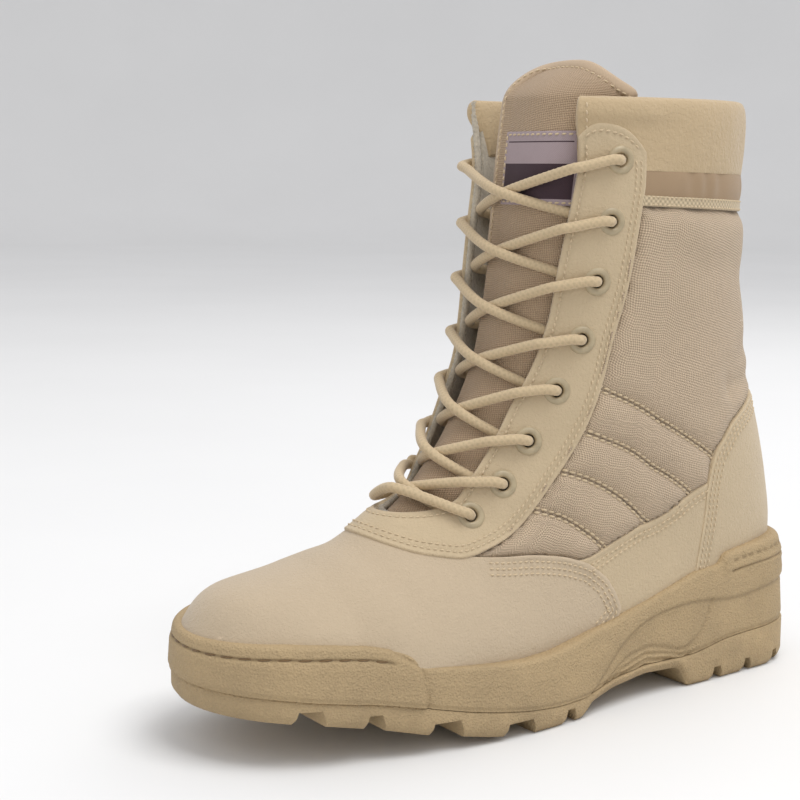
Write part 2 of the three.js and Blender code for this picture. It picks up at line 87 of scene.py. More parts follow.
# ---------------------------------------------------------------- design tables
# Sections of the last: front point, back point, half widths, widest place,
# squareness of front and back, wall thickness.
LAST_COLUMNS = ("xf", "zf", "xb", "zb", "lat", "med", "peak", "nf", "nb", "wall")
LAST = np.array([
    (1, 246, -117.5, 246, 39.5, 39.5, 0.5, 2.8, 2, 6),
    (2.5, 224, -116.5, 222, 39.5, 39.5, 0.5, 2.7, 2, 4.5),
    (4.5, 202, -116, 196, 39.5, 39.5, 0.5, 2.6, 2, 4),
    (7.5, 180, -116.5, 170, 39, 39, 0.5, 2.5, 2, 4),
    (11, 160, -119.5, 146, 38, 38, 0.5, 2.4, 2.1, 4),
    (16, 142, -125.5, 122, 37.5, 37, 0.5, 2.3, 2.2, 4),
    (24, 126, -132, 102, 37, 36.5, 0.49, 2.2, 2.3, 3.8),
    (33, 112, -138, 82, 36.5, 36, 0.48, 2.1, 2.3, 3.4),
    (43, 100, -142, 60, 36, 35, 0.48, 2.1, 2.3, 3),
    (53, 90.5, -139, 38, 36, 34.5, 0.48, 2, 2.3, 2.8),
    (63, 83, -118, 20, 37.5, 34.5, 0.5, 2, 2.3, 2.6),
    (72, 77, -62, 12, 40.5, 36.5, 0.55, 1.95, 2.2, 2.6),
    (80, 72.5, 10, 4, 46, 42, 0.6, 1.95, 2.2, 2.6),
    (88, 69, 62, 2, 47.5, 46, 0.62, 1.95, 2.2, 2.6),
    (95, 66.5, 95, 6, 41.5, 45.5, 0.62, 2.1, 2.2, 2.6),
])
BALL = len(LAST) - 1
TOE_ROWS = 5
TOE_BASE, TOE_REACH, TOE_HEIGHT, TOE_DRIFT = 95, 142, 38, -3

# The sole along its length: half widths, underside, parting line, top edge, bed, lean.
SOLE_COLUMNS = ("x", "lat", "med", "bottom", "part", "top", "bed", "lean")
SOLE = np.array([
    (-149, 34.5, 32, 3, 19, 57, 33, 5), (-128, 34.5, 32, 0, 18.5, 57, 33, 4.5),
    (-115, 35.5, 33, 0, 18, 56.5, 33, 3.5), (-100, 37, 34.5, 0, 17.5, 55.5, 33, 2.5),
    (-92, 38, 35.5, 0, 17, 54.5, 32.5, 2), (-89, 38.3, 35.7, 0, 16.5, 50.3, 32.5, 1.8),
    (-75, 39.3, 36, 0, 14, 49.3, 31, 1.6), (-70, 39.5, 36.5, 0, 13.5, 48, 30.5, 1.6),
    (-65, 39.8, 37, 9, 13.5, 46.6, 29.5, 1.4), (-45, 41, 38, 10, 14, 41, 26, 1.4),
    (-25, 44, 40, 8, 12, 36.4, 22, 1.4), (-12, 46.8, 42, 5, 9.5, 34.2, 20, 1.4),
    (-6, 48.2, 43, 0, 8.5, 33, 19, 1.4), (10, 51, 46, 0, 8.5, 30.2, 18, 1.4),
    (25, 52.5, 49, 0, 9.8, 29.6, 18, 1.4), (40, 53, 51, 1.8, 12, 30.6, 18.5, 1.4),
    (55, 52.5, 52, 4.6, 14.8, 32, 20, 1.4), (73, 50.5, 52, 8, 18.8, 34, 22.5, 1.6),
    (78, 49.5, 51.5, 9.2, 19.8, 39, 23, 2), (86, 47.5, 51, 11, 21.4, 42.2, 24, 2.2),
    (95, 45, 49.5, 13, 22.8, 44.2, 26.5, 2.4), (108, 45, 49.5, 15.5, 24.8, 45.8, 28.5, 2.4),
    (125, 45, 49.5, 17.5, 27, 46.6, 31, 2.4), (147, 45, 49.5, 19, 28.5, 46, 32, 2.4),
])
HEEL_END, TOE_END, HEEL_ARC, TOE_ARC = -149, 147, 34, 52
# Channels across the tread: x and width.
CHANNELS = ((116.5, 13), (92, 10), (63.5, 16), (29.5, 17), (2.5, 9), (-87.5, 9), (-107.5, 8), (-127.5, 8))

THROAT_HALF = (32, 31, 29, 27, 25.5, 23, 20.5, 19.5, 19, 18.5, 18)
THROAT_END, THROAT_ROUND = 9.9, 1.3
# Eyelets: section and distance along the leather from the throat edge.
EYELETS = ((1.1, 17), (2.15, 17.5), (3.2, 16.5), (4.35, 15.5), (5.5, 14), (6.8, 13), (8.05, 13), (9.2, 13))


# ---------------------------------------------------------------- form of the last
def section_value(v, column):
    """Smooth value of one column of the last at sections v."""
    c = LAST[:, LAST_COLUMNS.index(column)]
    i = np.clip(np.floor(v).astype(int), 0, BALL - 1)
    t = v - i
    b, d = c[i], c[i + 1]
    a = np.where(i > 0, c[np.maximum(i - 1, 0)], 2 * b - d)
    e = np.where(i < BALL - 1, c[np.minimum(i + 2, BALL)], 2 * d - b)
    rise, leave = (d - a) / 2, (e - b) / 2
    t2, t3 = t * t, t ** 3
    curve = (2 * t3 - 3 * t2 + 1) * b + (t3 - 2 * t2 + t) * rise
    curve = curve + (3 * t2 - 2 * t3) * d + (t3 - t2) * leave
    return np.where(v < 0, b + (d - b) * v, curve)


def bare_form(v, t):
    """Points of the last: t is 0 at the front, +pi/2 at the outer side, pi at the back."""
    v, t = grids(v, t)
    s = {name: section_value(np.minimum(v, BALL), name) for name in LAST_COLUMNS}
    turn = np.clip((v - BALL) / TOE_ROWS, 0, 1) * np.pi / 2
    r, toe = np.sin(turn), v > BALL
    front_fall = (1 - 0.38 * r) * np.sqrt(np.maximum(0, 1 - r ** 5))
    zf = np.where(toe, TOE_HEIGHT + (s["zf"] - TOE_HEIGHT) * front_fall, s["zf"])
    zb = np.where(toe, TOE_HEIGHT + (s["zb"] - TOE_HEIGHT) * np.sqrt(np.maximum(0, 1 - r ** 3)), s["zb"])
    x = TOE_BASE + (TOE_REACH - TOE_BASE) * r
    xf, xb = np.where(toe, x, s["xf"]), np.where(toe, x, s["xb"])
    c, w = np.cos(t), np.sin(t)
    n = np.where(c > 0, s["nf"], s["nb"])
    reach = np.abs(c) ** (2 / n)
    along = np.where(c > 0, s["peak"] * (1 - reach), s["peak"] + (1 - s["peak"]) * reach)
    half = np.where(w > 0, s["lat"], s["med"]) * np.cos(turn)
    y = TOE_DRIFT * r * r + np.sign(w) * half * np.abs(w) ** (2 / n)
    return np.stack([xf + (xb - xf) * along, y, zf + (zb - zf) * along], -1)


def bare_normal(v, t):
    v = np.minimum(v, BALL + TOE_ROWS - 0.1)
    along_v = bare_form(v + 0.02, t) - bare_form(v - 0.02, t)
    along_t = bare_form(v, t + 0.01) - bare_form(v, t - 0.01)
    n = np.cross(along_v, along_t)
    return n / np.maximum(np.linalg.norm(n, axis=-1, keepdims=True), 1e-9)


def turn_at(v, y):
    """Turn t at which section v is y from the middle, on its front half."""
    v, y = grids(v, y)
    vv = np.minimum(v, BALL)
    half = np.where(y > 0, section_value(vv, "lat"), section_value(vv, "med"))
    ratio = np.clip(np.abs(y) / half, 0, 1)
    return np.sign(y) * np.arcsin(ratio ** (section_value(vv, "nf") / 2))


def throat_half(v):
    """Half the width of the throat at section v."""
    v = np.asarray(v, float)
    left = np.maximum(0, THROAT_END - v) / THROAT_ROUND
    closing = np.where(left < 1, np.sqrt(np.maximum(0, 1 - (1 - np.minimum(left, 1)) ** 2)), 1)
    return np.interp(v, range(len(THROAT_HALF)), THROAT_HALF) * closing


def throat_turn(v, side):
    """Turn t of the throat edge at section v, on one side."""
    v = np.asarray(v, float)
    if side < 0:
        drawn_in = 4.5 * bell(v - 3.2, 1.7) - 2.5 * bell(v - 8.0, 1.1)
    else:
        drawn_in = 2.4 * ease((1.5 - v) / 1.5)
    return turn_at(v, side * (throat_half(v) - drawn_in * (throat_half(v) > 6)))


def looseness(v, t):
    """How far the worn-in flaps stand off the last: the inner flap flares, the corners curl."""
    near_throat = np.clip(v, 0, 9.8)
    edge_inner, edge_outer = throat_turn(near_throat, -1), throat_turn(near_throat, 1)
    flare, curl, outer_curl = 4.4, 5.6, 2.2
    rise = flare * ease((9.8 - v) / 2.0) + curl * ease((1.7 - v) / 1.9)
    inner = rise * np.exp(-np.clip(edge_inner - t, 0, 9) / 0.32) * (t < 0)
    outer = np.exp(-np.clip(t - edge_outer, 0, 9) / 0.2) * ease((1.0 - v) / 1.4) * (t >= 0)
    return inner + outer_curl * outer


def grids(*values):
    return np.broadcast_arrays(*[np.asarray(value, float) for value in values])


def skin(v, t, level=0.0):
    """Point of the upper at a level above its outer face, with soft looseness."""
    v, t, level = grids(v, t, level)
    wrapped = np.where(t > np.pi, t - 2 * np.pi, t)
    out = level + looseness(v, wrapped)
    return bare_form(v, t) + bare_normal(v, t) * out[..., None]


def wall(v):
    """Thickness of the upper at section v."""
    return section_value(np.clip(np.asarray(v, float), 0, BALL), "wall")


def turn_from_edge(v, distance, side):
    """Turn t at a distance along the leather from the throat edge."""
    ts = throat_turn(v, 1) + np.linspace(0, 1.2, 600)
    points = bare_form(v, ts)
    return side * float(np.interp(distance, lengths(points), ts))


# ---------------------------------------------------------------- curves
def smooth_path(points, count):
    """Catmull-Rom curve through points, count points evenly spaced in index."""
    p = np.asarray(points, float)
    n = len(p)
    s = np.linspace(0, n - 1, count)
    i = np.clip(np.floor(s).astype(int), 0, n - 2)
    t = (s - i)[:, None]
    b, c = p[i], p[i + 1]
    a = np.where((i > 0)[:, None], p[np.maximum(i - 1, 0)], 2 * b - c)
    d = np.where((i < n - 2)[:, None], p[np.minimum(i + 2, n - 1)], 2 * c - b)
    t2, t3 = t * t, t ** 3
    return 0.5 * (2 * b + (c - a) * t + (2 * a - 5 * b + 4 * c - d) * t2 + (3 * b - a - 3 * c + d) * t3)


def lengths(points):
    return np.concatenate([[0], np.cumsum(np.linalg.norm(np.diff(points, axis=0), axis=1))])


def sample(at, gone, table):
    """Rows of a table read at places along a curve."""
    return np.stack([np.interp(at, gone, column) for column in table.T], -1)


def even(points, step):
    """The polyline resampled at about one step."""
    gone = lengths(points)
    count = max(2, int(round(gone[-1] / step)) + 1)
    return sample(np.linspace(0, gone[-1], count), gone, points)


def soften(points, times):
    """Evens out a polyline by averaging neighbours, ends held."""
    for _ in range(times):
        points[1:-1] = (points[:-2] + 2 * points[1:-1] + points[2:]) / 4
    return points


def along_curve(points):
    d = np.gradient(points, axis=0)
    return d / np.maximum(np.linalg.norm(d, axis=1, keepdims=True), 1e-9)


def unit(rows):
    return rows / np.linalg.norm(rows, axis=1, keepdims=True)


def flow(pairs, step):
    """Dense, even (v, t) curve through a few given pairs."""
    dense = smooth_path(pairs, len(pairs) * 30)
    gone = lengths(skin(dense[:, 0], dense[:, 1]))
    count = max(3, int(round(gone[-1] / step)) + 1)
    return sample(np.linspace(0, gone[-1], count), gone, dense)


def mirrored(pairs):
    p = np.array(pairs, float)
    p[:, 1] *= -1
    return p


def near(points, lines):
    """Shortest distance of each point to any of the polylines."""
    flat = points.reshape(-1, 3)
    best = np.full(len(flat), 1e9)
    for line in lines:
        low, high = line.min(0) - 20, line.max(0) + 20
        inside = np.flatnonzero(np.all((flat > low) & (flat < high), axis=1))
        for k in range(0, len(inside), 20000):
            part = inside[k:k + 20000]
            gap = np.linalg.norm(flat[part, None, :] - line[None, :, :], axis=2).min(1)
            best[part] = np.minimum(best[part], gap)
    return best.reshape(points.shape[:-1])


# ---------------------------------------------------------------- meshes
def mesh_object(name, points, faces, finishes, face_finish=None, crisp=50, uv=None, marks=None):
    """Object in the shared frame; finishes are materials, marks are 0..1 values per point."""
    mesh = bpy.data.meshes.new(name)
    mesh.from_pydata(to_scene(points).tolist(), [], [list(f) for f in faces])
    for material in finishes:
        mesh.materials.append(material)
    if face_finish is not None:
        mesh.polygons.foreach_set("material_index", np.asarray(face_finish, np.int32))
    corner = np.empty(len(mesh.loops), np.int32)
    mesh.loops.foreach_get("vertex_index", corner)
    if uv is not None:
        layer = mesh.uv_layers.new(name="cloth")
        layer.data.foreach_set("uv", np.asarray(uv, np.float32)[corner].ravel())
    for key, values in (marks or {}).items():
        mark = mesh.attributes.new(key, "FLOAT", "POINT")
        mark.data.foreach_set("value", np.asarray(values, np.float32))
    obj = bpy.data.objects.new(name, mesh)
    bpy.context.scene.collection.objects.link(obj)
    work = bmesh.new()
    work.from_mesh(mesh)
    bmesh.ops.remove_doubles(work, verts=work.verts, dist=1e-6)
    loose = [v for v in work.verts if not v.link_faces]
    bmesh.ops.delete(work, geom=loose, context="VERTS")
    bmesh.ops.recalc_face_normals(work, faces=work.faces)
    work.to_mesh(mesh)
    work.free()
    mesh.polygons.foreach_set("use_smooth", np.ones(len(mesh.polygons), bool))
    mesh.set_sharp_from_angle(angle=math.radians(crisp))
    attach(obj, "root")
    return obj


def steps(points, axis):
    """Distance gone along one axis of a grid of points."""
    gaps = np.linalg.norm(np.diff(points, axis=axis), axis=2)
    pad = ((1, 0), (0, 0)) if axis == 0 else ((0, 0), (1, 0))
    return np.cumsum(np.pad(gaps, pad), axis=axis)


def ring_faces(rings, count, closed=False):
    """Quads between neighbouring rings of count points; closed joins the last ring to the first."""
    j, i = np.meshgrid(np.arange(rings if closed else rings - 1), np.arange(count), indexing="ij")
    j, i = j.ravel(), i.ravel()
    j2, i2 = (j + 1) % rings, (i + 1) % count
    return np.stack([j * count + i, j * count + i2, j2 * count + i2, j2 * count + i], 1).tolist()


def slab(name, top, bottom, finishes, keep=None, marks=None, top_finish=None):
    """Closed body between two grids of points. keep says which cells are there.

    finishes: face, back, cut edge. marks: {name: grid of values} for the top grid.
    """
    rows, cols = top.shape[:2]
    keep = np.ones((rows - 1, cols - 1), bool) if keep is None else keep
    j, i = np.nonzero(keep)
    corner = j * cols + i
    face = np.stack([corner, corner + 1, corner + cols + 1, corner + cols], 1)
    under = rows * cols
    back = face[:, ::-1] + under
    on_top = np.zeros(len(face), int) if top_finish is None else top_finish[j, i]
    edges = {}
    for a, b in ((0, 1), (1, 2), (2, 3), (3, 0)):
        edges.update(dict.fromkeys(map(tuple, face[:, [a, b]].tolist())))
    rim = [(q, p, p + under, q + under) for p, q in edges if (q, p) not in edges]
    faces = face.tolist() + back.tolist() + rim
    face_finish = list(on_top) + [1] * len(back) + [2] * len(rim)
    u = steps(top, 1)
    u = u - u[:, cols // 2][:, None]
    cloth = np.stack([u, steps(top, 0)], -1).reshape(-1, 2) * MM
    values = {key: np.tile(grid.ravel(), 2) for key, grid in (marks or {}).items()}
    points = np.concatenate([top.reshape(-1, 3), bottom.reshape(-1, 3)])
    return mesh_object(name, points, faces, finishes, face_finish, uv=np.tile(cloth, (2, 1)), marks=values)


def tube(name, path, radius, sides, material, relief, step):
    """Round cord along a path, with relief(along, around) on its radius."""
    path = even(path, step)
    forward = along_curve(path)
    up = np.zeros_like(forward)
    up[0] = np.cross(forward[0], (0.3, 0.2, 1.0))
    for k in range(1, len(path)):
        up[k] = up[k - 1] - forward[k] * np.dot(up[k - 1], forward[k])
        up[k] /= np.linalg.norm(up[k])
    up[0] /= np.linalg.norm(up[0])
    across = np.cross(forward, up)
    a = np.linspace(0, 2 * np.pi, sides, endpoint=False)
    gone = lengths(path)
    r = radius + relief(gone[:, None], a[None, :])
    around = np.cos(a)[None, :, None] * up[:, None] + np.sin(a)[None, :, None] * across[:, None]
    rings = path[:, None] + r[..., None] * around
    faces = ring_faces(len(path), sides)
    faces += [list(range(sides)), list(range((len(path) - 1) * sides, len(path) * sides))]
    uv = np.stack(np.broadcast_arrays(gone[:, None], a[None, :] * radius), -1).reshape(-1, 2) * MM
    # relief height as the mark for painted shade: hollows darker, ridges lighter
    high = (r - r.min()) / (r.max() - r.min())
    return mesh_object(name, rings.reshape(-1, 3), faces, [material], None, 60, uv, {"seam": high.ravel()})


def surfaces_of(*names):
    """Search trees of finished pieces, for things that lie on them."""
    trees = []
    for name in names:
        mesh = bpy.data.objects[name].data
        co = np.empty(len(mesh.vertices) * 3, np.float32)
        mesh.vertices.foreach_get("co", co)
        points = (co.reshape(-1, 3) / MM - ORIGIN).tolist()
        trees.append(BVHTree.FromPolygons(points, [list(p.vertices) for p in mesh.polygons]))
    return trees


def lay_on(points, normals, trees, reach=9.0):
    """Drops points against their normals on the highest surface within reach."""
    placed = points.copy()
    for k, (p, n) in enumerate(zip(points, normals)):
        start, down = Vector(p + n * reach), Vector(-n)
        best = None
        for tree in trees:
            hit, _, _, gap = tree.ray_cast(start, down, 2 * reach)
            if hit is not None and (best is None or gap < best):
                best = gap
        if best is not None:
            placed[k] = p + n * (reach - best)
    return placed


# ---------------------------------------------------------------- shader effects
def put(tree, kind, inputs=None, **settings):
    """One node with its settings; an input is a constant or a socket to link."""
    made = tree.nodes.new(kind)
    for key, value in settings.items():
        setattr(made, key, value)
    for key, value in (inputs or {}).items():
        if isinstance(value, bpy.types.NodeSocket):
            tree.links.new(value, made.inputs[key])
        else:
            made.inputs[key].default_value = value
    return made


def maths(tree, operation, a, b=0.5, c=0.5):
    return put(tree, "ShaderNodeMath", {0: a, 1: b, 2: c}, operation=operation).outputs[0]


def ramp(tree, value, low, high, start=0.0, end=1.0):
    made = put(tree, "ShaderNodeMapRange", {"Value": value, "From Min": low, "From Max": high,
                                            "To Min": start, "To Max": end}, clamp=True)
    return made.outputs[0]


def blend(tree, share, a, b):
    made = put(tree, "ShaderNodeMix", data_type="RGBA", blend_type="MIX", clamp_factor=True)
    for index, value in ((0, share), (6, a), (7, b)):
        if isinstance(value, bpy.types.NodeSocket):
            tree.links.new(value, made.inputs[index])
        elif index == 0:
            made.inputs[index].default_value = value
        else:
            made.inputs[index].default_value = (*value[:3], 1.0)
    return made.outputs[2]


def effect(name, inputs, outputs):
    """Empty shader node group with float and vector inputs, and float or colour outputs."""
    group = bpy.data.node_groups.new(name, "ShaderNodeTree")
    for key, kind, value in inputs:
        socket = group.interface.new_socket(key, in_out="INPUT", socket_type="NodeSocket" + kind)
        if value is not None:
            socket.default_value = value
    for key, kind in outputs:
        group.interface.new_socket(key, in_out="OUTPUT", socket_type="NodeSocket" + kind)
    return group, group.nodes.new("NodeGroupInput").outputs, group.nodes.new("NodeGroupOutput").inputs


def noise(tree, place, scale, detail, **values):
    """Value of a noise texture at a place; values are its other inputs."""
    values.update(Vector=place, Scale=scale, Detail=detail)
    return put(tree, "ShaderNodeTexNoise", values).outputs[0]


def make_nap():
    """Brushed suede: short fibres, finger marks and broad patches of lighter nap."""
    g, ins, outs = effect("Suede Nap", [("Place", "Vector", None), ("Fibre", "Float", 900.0),
                                        ("Patch", "Float", 60.0)], [("Tone", "Float"), ("Height", "Float")])
    fibre = noise(g, ins["Place"], ins["Fibre"], 3.0, Roughness=0.65)
    brushed = noise(g, ins["Place"], ins["Patch"], 3.0, Roughness=0.6, Distortion=0.6)
    pore = noise(g, ins["Place"], maths(g, "MULTIPLY", ins["Fibre"], 0.32), 2.0)
    soft = maths(g, "MULTIPLY_ADD", brushed, 0.55, maths(g, "MULTIPLY", fibre, 0.3))
    g.links.new(maths(g, "MULTIPLY_ADD", pore, 0.3, soft), outs["Tone"])
    g.links.new(maths(g, "MULTIPLY_ADD", pore, 0.5, fibre), outs["Height"])
    return g


def make_weave():
    """Plain weave: warp and weft threads that pass over each other, from cloth coordinates."""
    g, ins, outs = effect("Cloth Weave", [("Cloth", "Vector", None), ("Threads", "Float", 700.0),
                                          ("Turn", "Float", 0.6)], [("Thread", "Float"), ("Height", "Float")])
    turned = put(g, "ShaderNodeVectorRotate", {"Vector": ins["Cloth"], "Angle": ins["Turn"]},
                 rotation_type="Z_AXIS")
    wobble = noise(g, ins["Cloth"], 160.0, 1.0)
    xyz = put(g, "ShaderNodeSeparateXYZ", {0: turned.outputs[0]})
    waves = []
    for axis in (0, 1):
        drift = maths(g, "MULTIPLY", wobble, 0.0009)
        place = maths(g, "MULTIPLY", maths(g, "ADD", xyz.outputs[axis], drift), ins["Threads"])
        waves.append(maths(g, "SINE", maths(g, "MULTIPLY", place, 2 * math.pi)))
    over = maths(g, "MULTIPLY", waves[0], waves[1])
    g.links.new(maths(g, "MULTIPLY_ADD", over, 0.5, 0.5), outs["Height"])
    fine = noise(g, ins["Cloth"], 1500.0, 1.0)
    thread = maths(g, "MULTIPLY_ADD", over, 0.4, 0.35)
    g.links.new(maths(g, "MULTIPLY_ADD", fine, 0.3, thread), outs["Thread"])
    return g


def make_pebble():
    """Moulded rubber: fine blasted grain with shallow flow marks."""
    g, ins, outs = effect("Moulded Grain", [("Place", "Vector", None), ("Grain", "Float", 1100.0)],
                          [("Tone", "Float"), ("Height", "Float")])
    grain = put(g, "ShaderNodeTexVoronoi", {"Vector": ins["Place"], "Scale": ins["Grain"]})
    speck = noise(g, ins["Place"], ins["Grain"], 2.0)
    streak = noise(g, ins["Place"], 28.0, 3.0, Distortion=0.8)
    g.links.new(maths(g, "MULTIPLY_ADD", speck, 0.5, maths(g, "MULTIPLY", streak, 0.6)), outs["Tone"])
    g.links.new(maths(g, "ADD", grain.outputs[0], speck), outs["Height"])
    return g


def make_dust():
    """Dust and scuffs: mostly low down, broken up by noise. Height is metres above the floor."""
    g, ins, outs = effect("Dust and Scuffs", [("Place", "Vector", None), ("Reach", "Float", 0.05),
                                              ("Amount", "Float", 0.4)], [("Mask", "Float")])
    height = put(g, "ShaderNodeSeparateXYZ", {0: ins["Place"]}).outputs[2]
    low = ramp(g, maths(g, "DIVIDE", height, ins["Reach"]), 0.0, 1.0, 1.0, 0.15)
    patch = ramp(g, noise(g, ins["Place"], 45.0, 6.0, Roughness=0.7), 0.42, 0.72)
    g.links.new(maths(g, "MULTIPLY", maths(g, "MULTIPLY", low, patch), ins["Amount"]), outs["Mask"])
    return g


def make_wear():
    """Lighter rubbed edges where the surface turns sharply outwards."""
    g, ins, outs = effect("Edge Wear", [("Place", "Vector", None), ("Amount", "Float", 0.5)],
                          [("Mask", "Float")])
    geometry = put(g, "ShaderNodeNewGeometry")
    edge = ramp(g, geometry.outputs["Pointiness"], 0.51, 0.6)
    rubbed = maths(g, "MULTIPLY", edge, ramp(g, noise(g, ins["Place"], 220.0, 3.0), 0.3, 0.6))
    g.links.new(maths(g, "MULTIPLY", rubbed, ins["Amount"]), outs["Mask"])
    return g


EFFECTS = {"nap": make_nap, "weave": make_weave, "pebble": make_pebble, "dust": make_dust, "wear": make_wear}
BUILT = {}


def use(tree, name, **inputs):
    """A shared effect placed in a material with its own values."""
    if name not in BUILT:
        BUILT[name] = EFFECTS[name]()
    made = tree.nodes.new("ShaderNodeGroup")
    made.node_tree = BUILT[name]
    for key, value in inputs.items():
        if isinstance(value, bpy.types.NodeSocket):
            tree.links.new(value, made.inputs[key])
        else:
            made.inputs[key].default_value = value
    return made.outputs


def finish_base(name, roughness, specular, sheen=0.0):
    """New material: itself, its node tree, its Principled shader and the place on the object."""
    material = bpy.data.materials.new(name)
    material.use_nodes = True
    tree = material.node_tree
    shader = tree.nodes["Principled BSDF"]
    for key, value in (("Roughness", roughness), ("Sheen Weight", sheen), ("Sheen Roughness", 0.5),
                       ("Specular IOR Level", specular)):
        shader.inputs[key].default_value = value
    return material, tree, shader, put(tree, "ShaderNodeTexCoord").outputs["Object"]


def finish_off(tree, shader, tone, roughness, height, strength, distance):
    """Links the colour, the roughness and the bump of a material."""
    bump = put(tree, "ShaderNodeBump", {"Height": height, "Strength": strength, "Distance": distance})
    for socket, key in ((tone, "Base Color"), (roughness, "Roughness"), (bump.outputs[0], "Normal")):
        tree.links.new(socket, shader.inputs[key])


def shade(colour, amount):
    return tuple(min(1.0, c * amount) for c in colour[:3])


# The point mark that carries painted shade into the materials.
def painted_shade_mark(tree):
    return put(tree, "ShaderNodeAttribute", attribute_name="seam").outputs["Fac"]


# Painted shade: the tone darkened where the mark is high, in seams, stitch dents and grooves.
def with_painted_shade(tree, tone, colour, share, amount):
    return blend(tree, maths(tree, "MULTIPLY", painted_shade_mark(tree), share), tone, shade(colour, amount))


def with_mask(tree, name, tone, colour, amount, **values):
    """Tone with the mask of the wear or dust effect laid over it."""
    return blend(tree, use(tree, name, **values)["Mask"], tone, shade(colour, amount))


def make_suede(name, colour, fibre, patch, depth=0.0005):
    m, tree, shader, place = finish_base(name, 0.95, 0.15, sheen=0.25)
    nap = use(tree, "nap", Place=place, Fibre=fibre, Patch=patch)
    tone = blend(tree, ramp(tree, nap["Tone"], 0.36, 0.78), shade(colour, 0.9), shade(colour, 1.07))
    tone = blend(tree, ramp(tree, nap["Height"], 0.38, 0.62, 0.0, 0.7), tone, shade(colour, 0.82))
    # painted shade in the dents of sewn rows and in the back-seam groove
    tone = with_painted_shade(tree, tone, colour, 0.55, 0.5)
    tone = with_mask(tree, "wear", tone, colour, 1.35, Place=place, Amount=0.45)
    tone = with_mask(tree, "dust", tone, colour, 0.72, Place=place, Reach=0.09, Amount=0.35)
    finish_off(tree, shader, tone, ramp(tree, nap["Tone"], 0.3, 0.8, 0.99, 0.86), nap["Height"], 0.9, depth)
    return m


def make_cloth(name, colour, threads, turn=0.0, depth=0.0001, dark=0.66, light=1.16):
    m, tree, shader, place = finish_base(name, 0.85, 0.25, sheen=0.15)
    cloth = put(tree, "ShaderNodeUVMap", uv_map="cloth").outputs[0]
    weave = use(tree, "weave", Cloth=cloth, Threads=threads, Turn=turn)
    tone = blend(tree, ramp(tree, weave["Thread"], 0.1, 0.9), shade(colour, dark), shade(colour, light))
    nap = use(tree, "nap", Place=place, Fibre=400.0, Patch=25.0)
    tone = blend(tree, ramp(tree, nap["Tone"], 0.4, 0.8, 0.0, 0.3), tone, shade(colour, 1.2))
    # painted shade in the quilting troughs, under the panels' edges and along the strip's edges
    tone = with_painted_shade(tree, tone, colour, 0.6, 0.42)
    tone = with_mask(tree, "dust", tone, colour, 0.8, Place=place, Reach=0.12, Amount=0.25)
    rough = ramp(tree, weave["Thread"], 0.0, 1.0, 0.95, 0.7)
    finish_off(tree, shader, tone, rough, weave["Height"], 0.7, depth)
    return m


def make_rubber(name, colour, dust=0.5):
    m, tree, shader, place = finish_base(name, 0.7, 0.35)
    grain = use(tree, "pebble", Place=place, Grain=1100.0)
    tone = blend(tree, ramp(tree, grain["Tone"], 0.35, 0.75), shade(colour, 0.84), shade(colour, 1.08))
    # painted shade in the moulded grooves and lines of the side wall
    tone = with_painted_shade(tree, tone, colour, 0.6, 0.42)
    tone = with_mask(tree, "wear", tone, colour, 1.25, Place=place, Amount=0.5)
    tone = with_mask(tree, "dust", tone, colour, 0.62, Place=place, Reach=0.035, Amount=dust)
    rough = ramp(tree, grain["Tone"], 0.3, 0.8, 0.62, 0.8)
    finish_off(tree, shader, tone, rough, grain["Height"], 0.6, 0.0007)
    return m


def make_cord(name, colour):
    m, tree, shader, place = finish_base(name, 0.8, 0.3, sheen=0.2)
    yarn = noise(tree, place, 1400.0, 3.0)
    # painted shade in the hollows of the cord's relief and a painted highlight on its ridges
    tone = blend(tree, ramp(tree, painted_shade_mark(tree), 0.0, 0.9), shade(colour, 0.84), shade(colour, 1.06))
    tone = blend(tree, ramp(tree, yarn, 0.3, 0.75, 0.0, 0.35), tone, shade(colour, 0.72))
    finish_off(tree, shader, tone, ramp(tree, yarn, 0.2, 0.8, 0.7, 0.9), yarn, 0.5, 0.0003)
    return m


def make_enamel(name, colour):
    m, tree, shader, place = finish_base(name, 0.4, 0.5)
    mottle = noise(tree, place, 320.0, 4.0)
    tone = blend(tree, ramp(tree, mottle, 0.35, 0.7), shade(colour, 0.86), shade(colour, 1.08))
    tone = with_mask(tree, "wear", tone, colour, 1.5, Place=place, Amount=0.7)
    finish_off(tree, shader, tone, ramp(tree, mottle, 0.3, 0.7, 0.34, 0.5), mottle, 0.15, 0.0002)
    return m


def make_felt(name, colour):
    """Fuzzy lining and raw edges."""
    m, tree, shader, place = finish_base(name, 0.98, 0.1, sheen=0.5)
    fuzz = noise(tree, place, 700.0, 5.0, Roughness=0.75)
    cloud = noise(tree, place, 60.0, 3.0)
    tone = blend(tree, ramp(tree, fuzz, 0.32, 0.7), shade(colour, 0.72), shade(colour, 1.18))
    tone = blend(tree, ramp(tree, cloud, 0.35, 0.75, 0.0, 0.3), tone, shade(colour, 0.8))
    finish_off(tree, shader, tone, ramp(tree, fuzz, 0.2, 0.8, 0.9, 1.0), fuzz, 0.8, 0.0008)
    return m


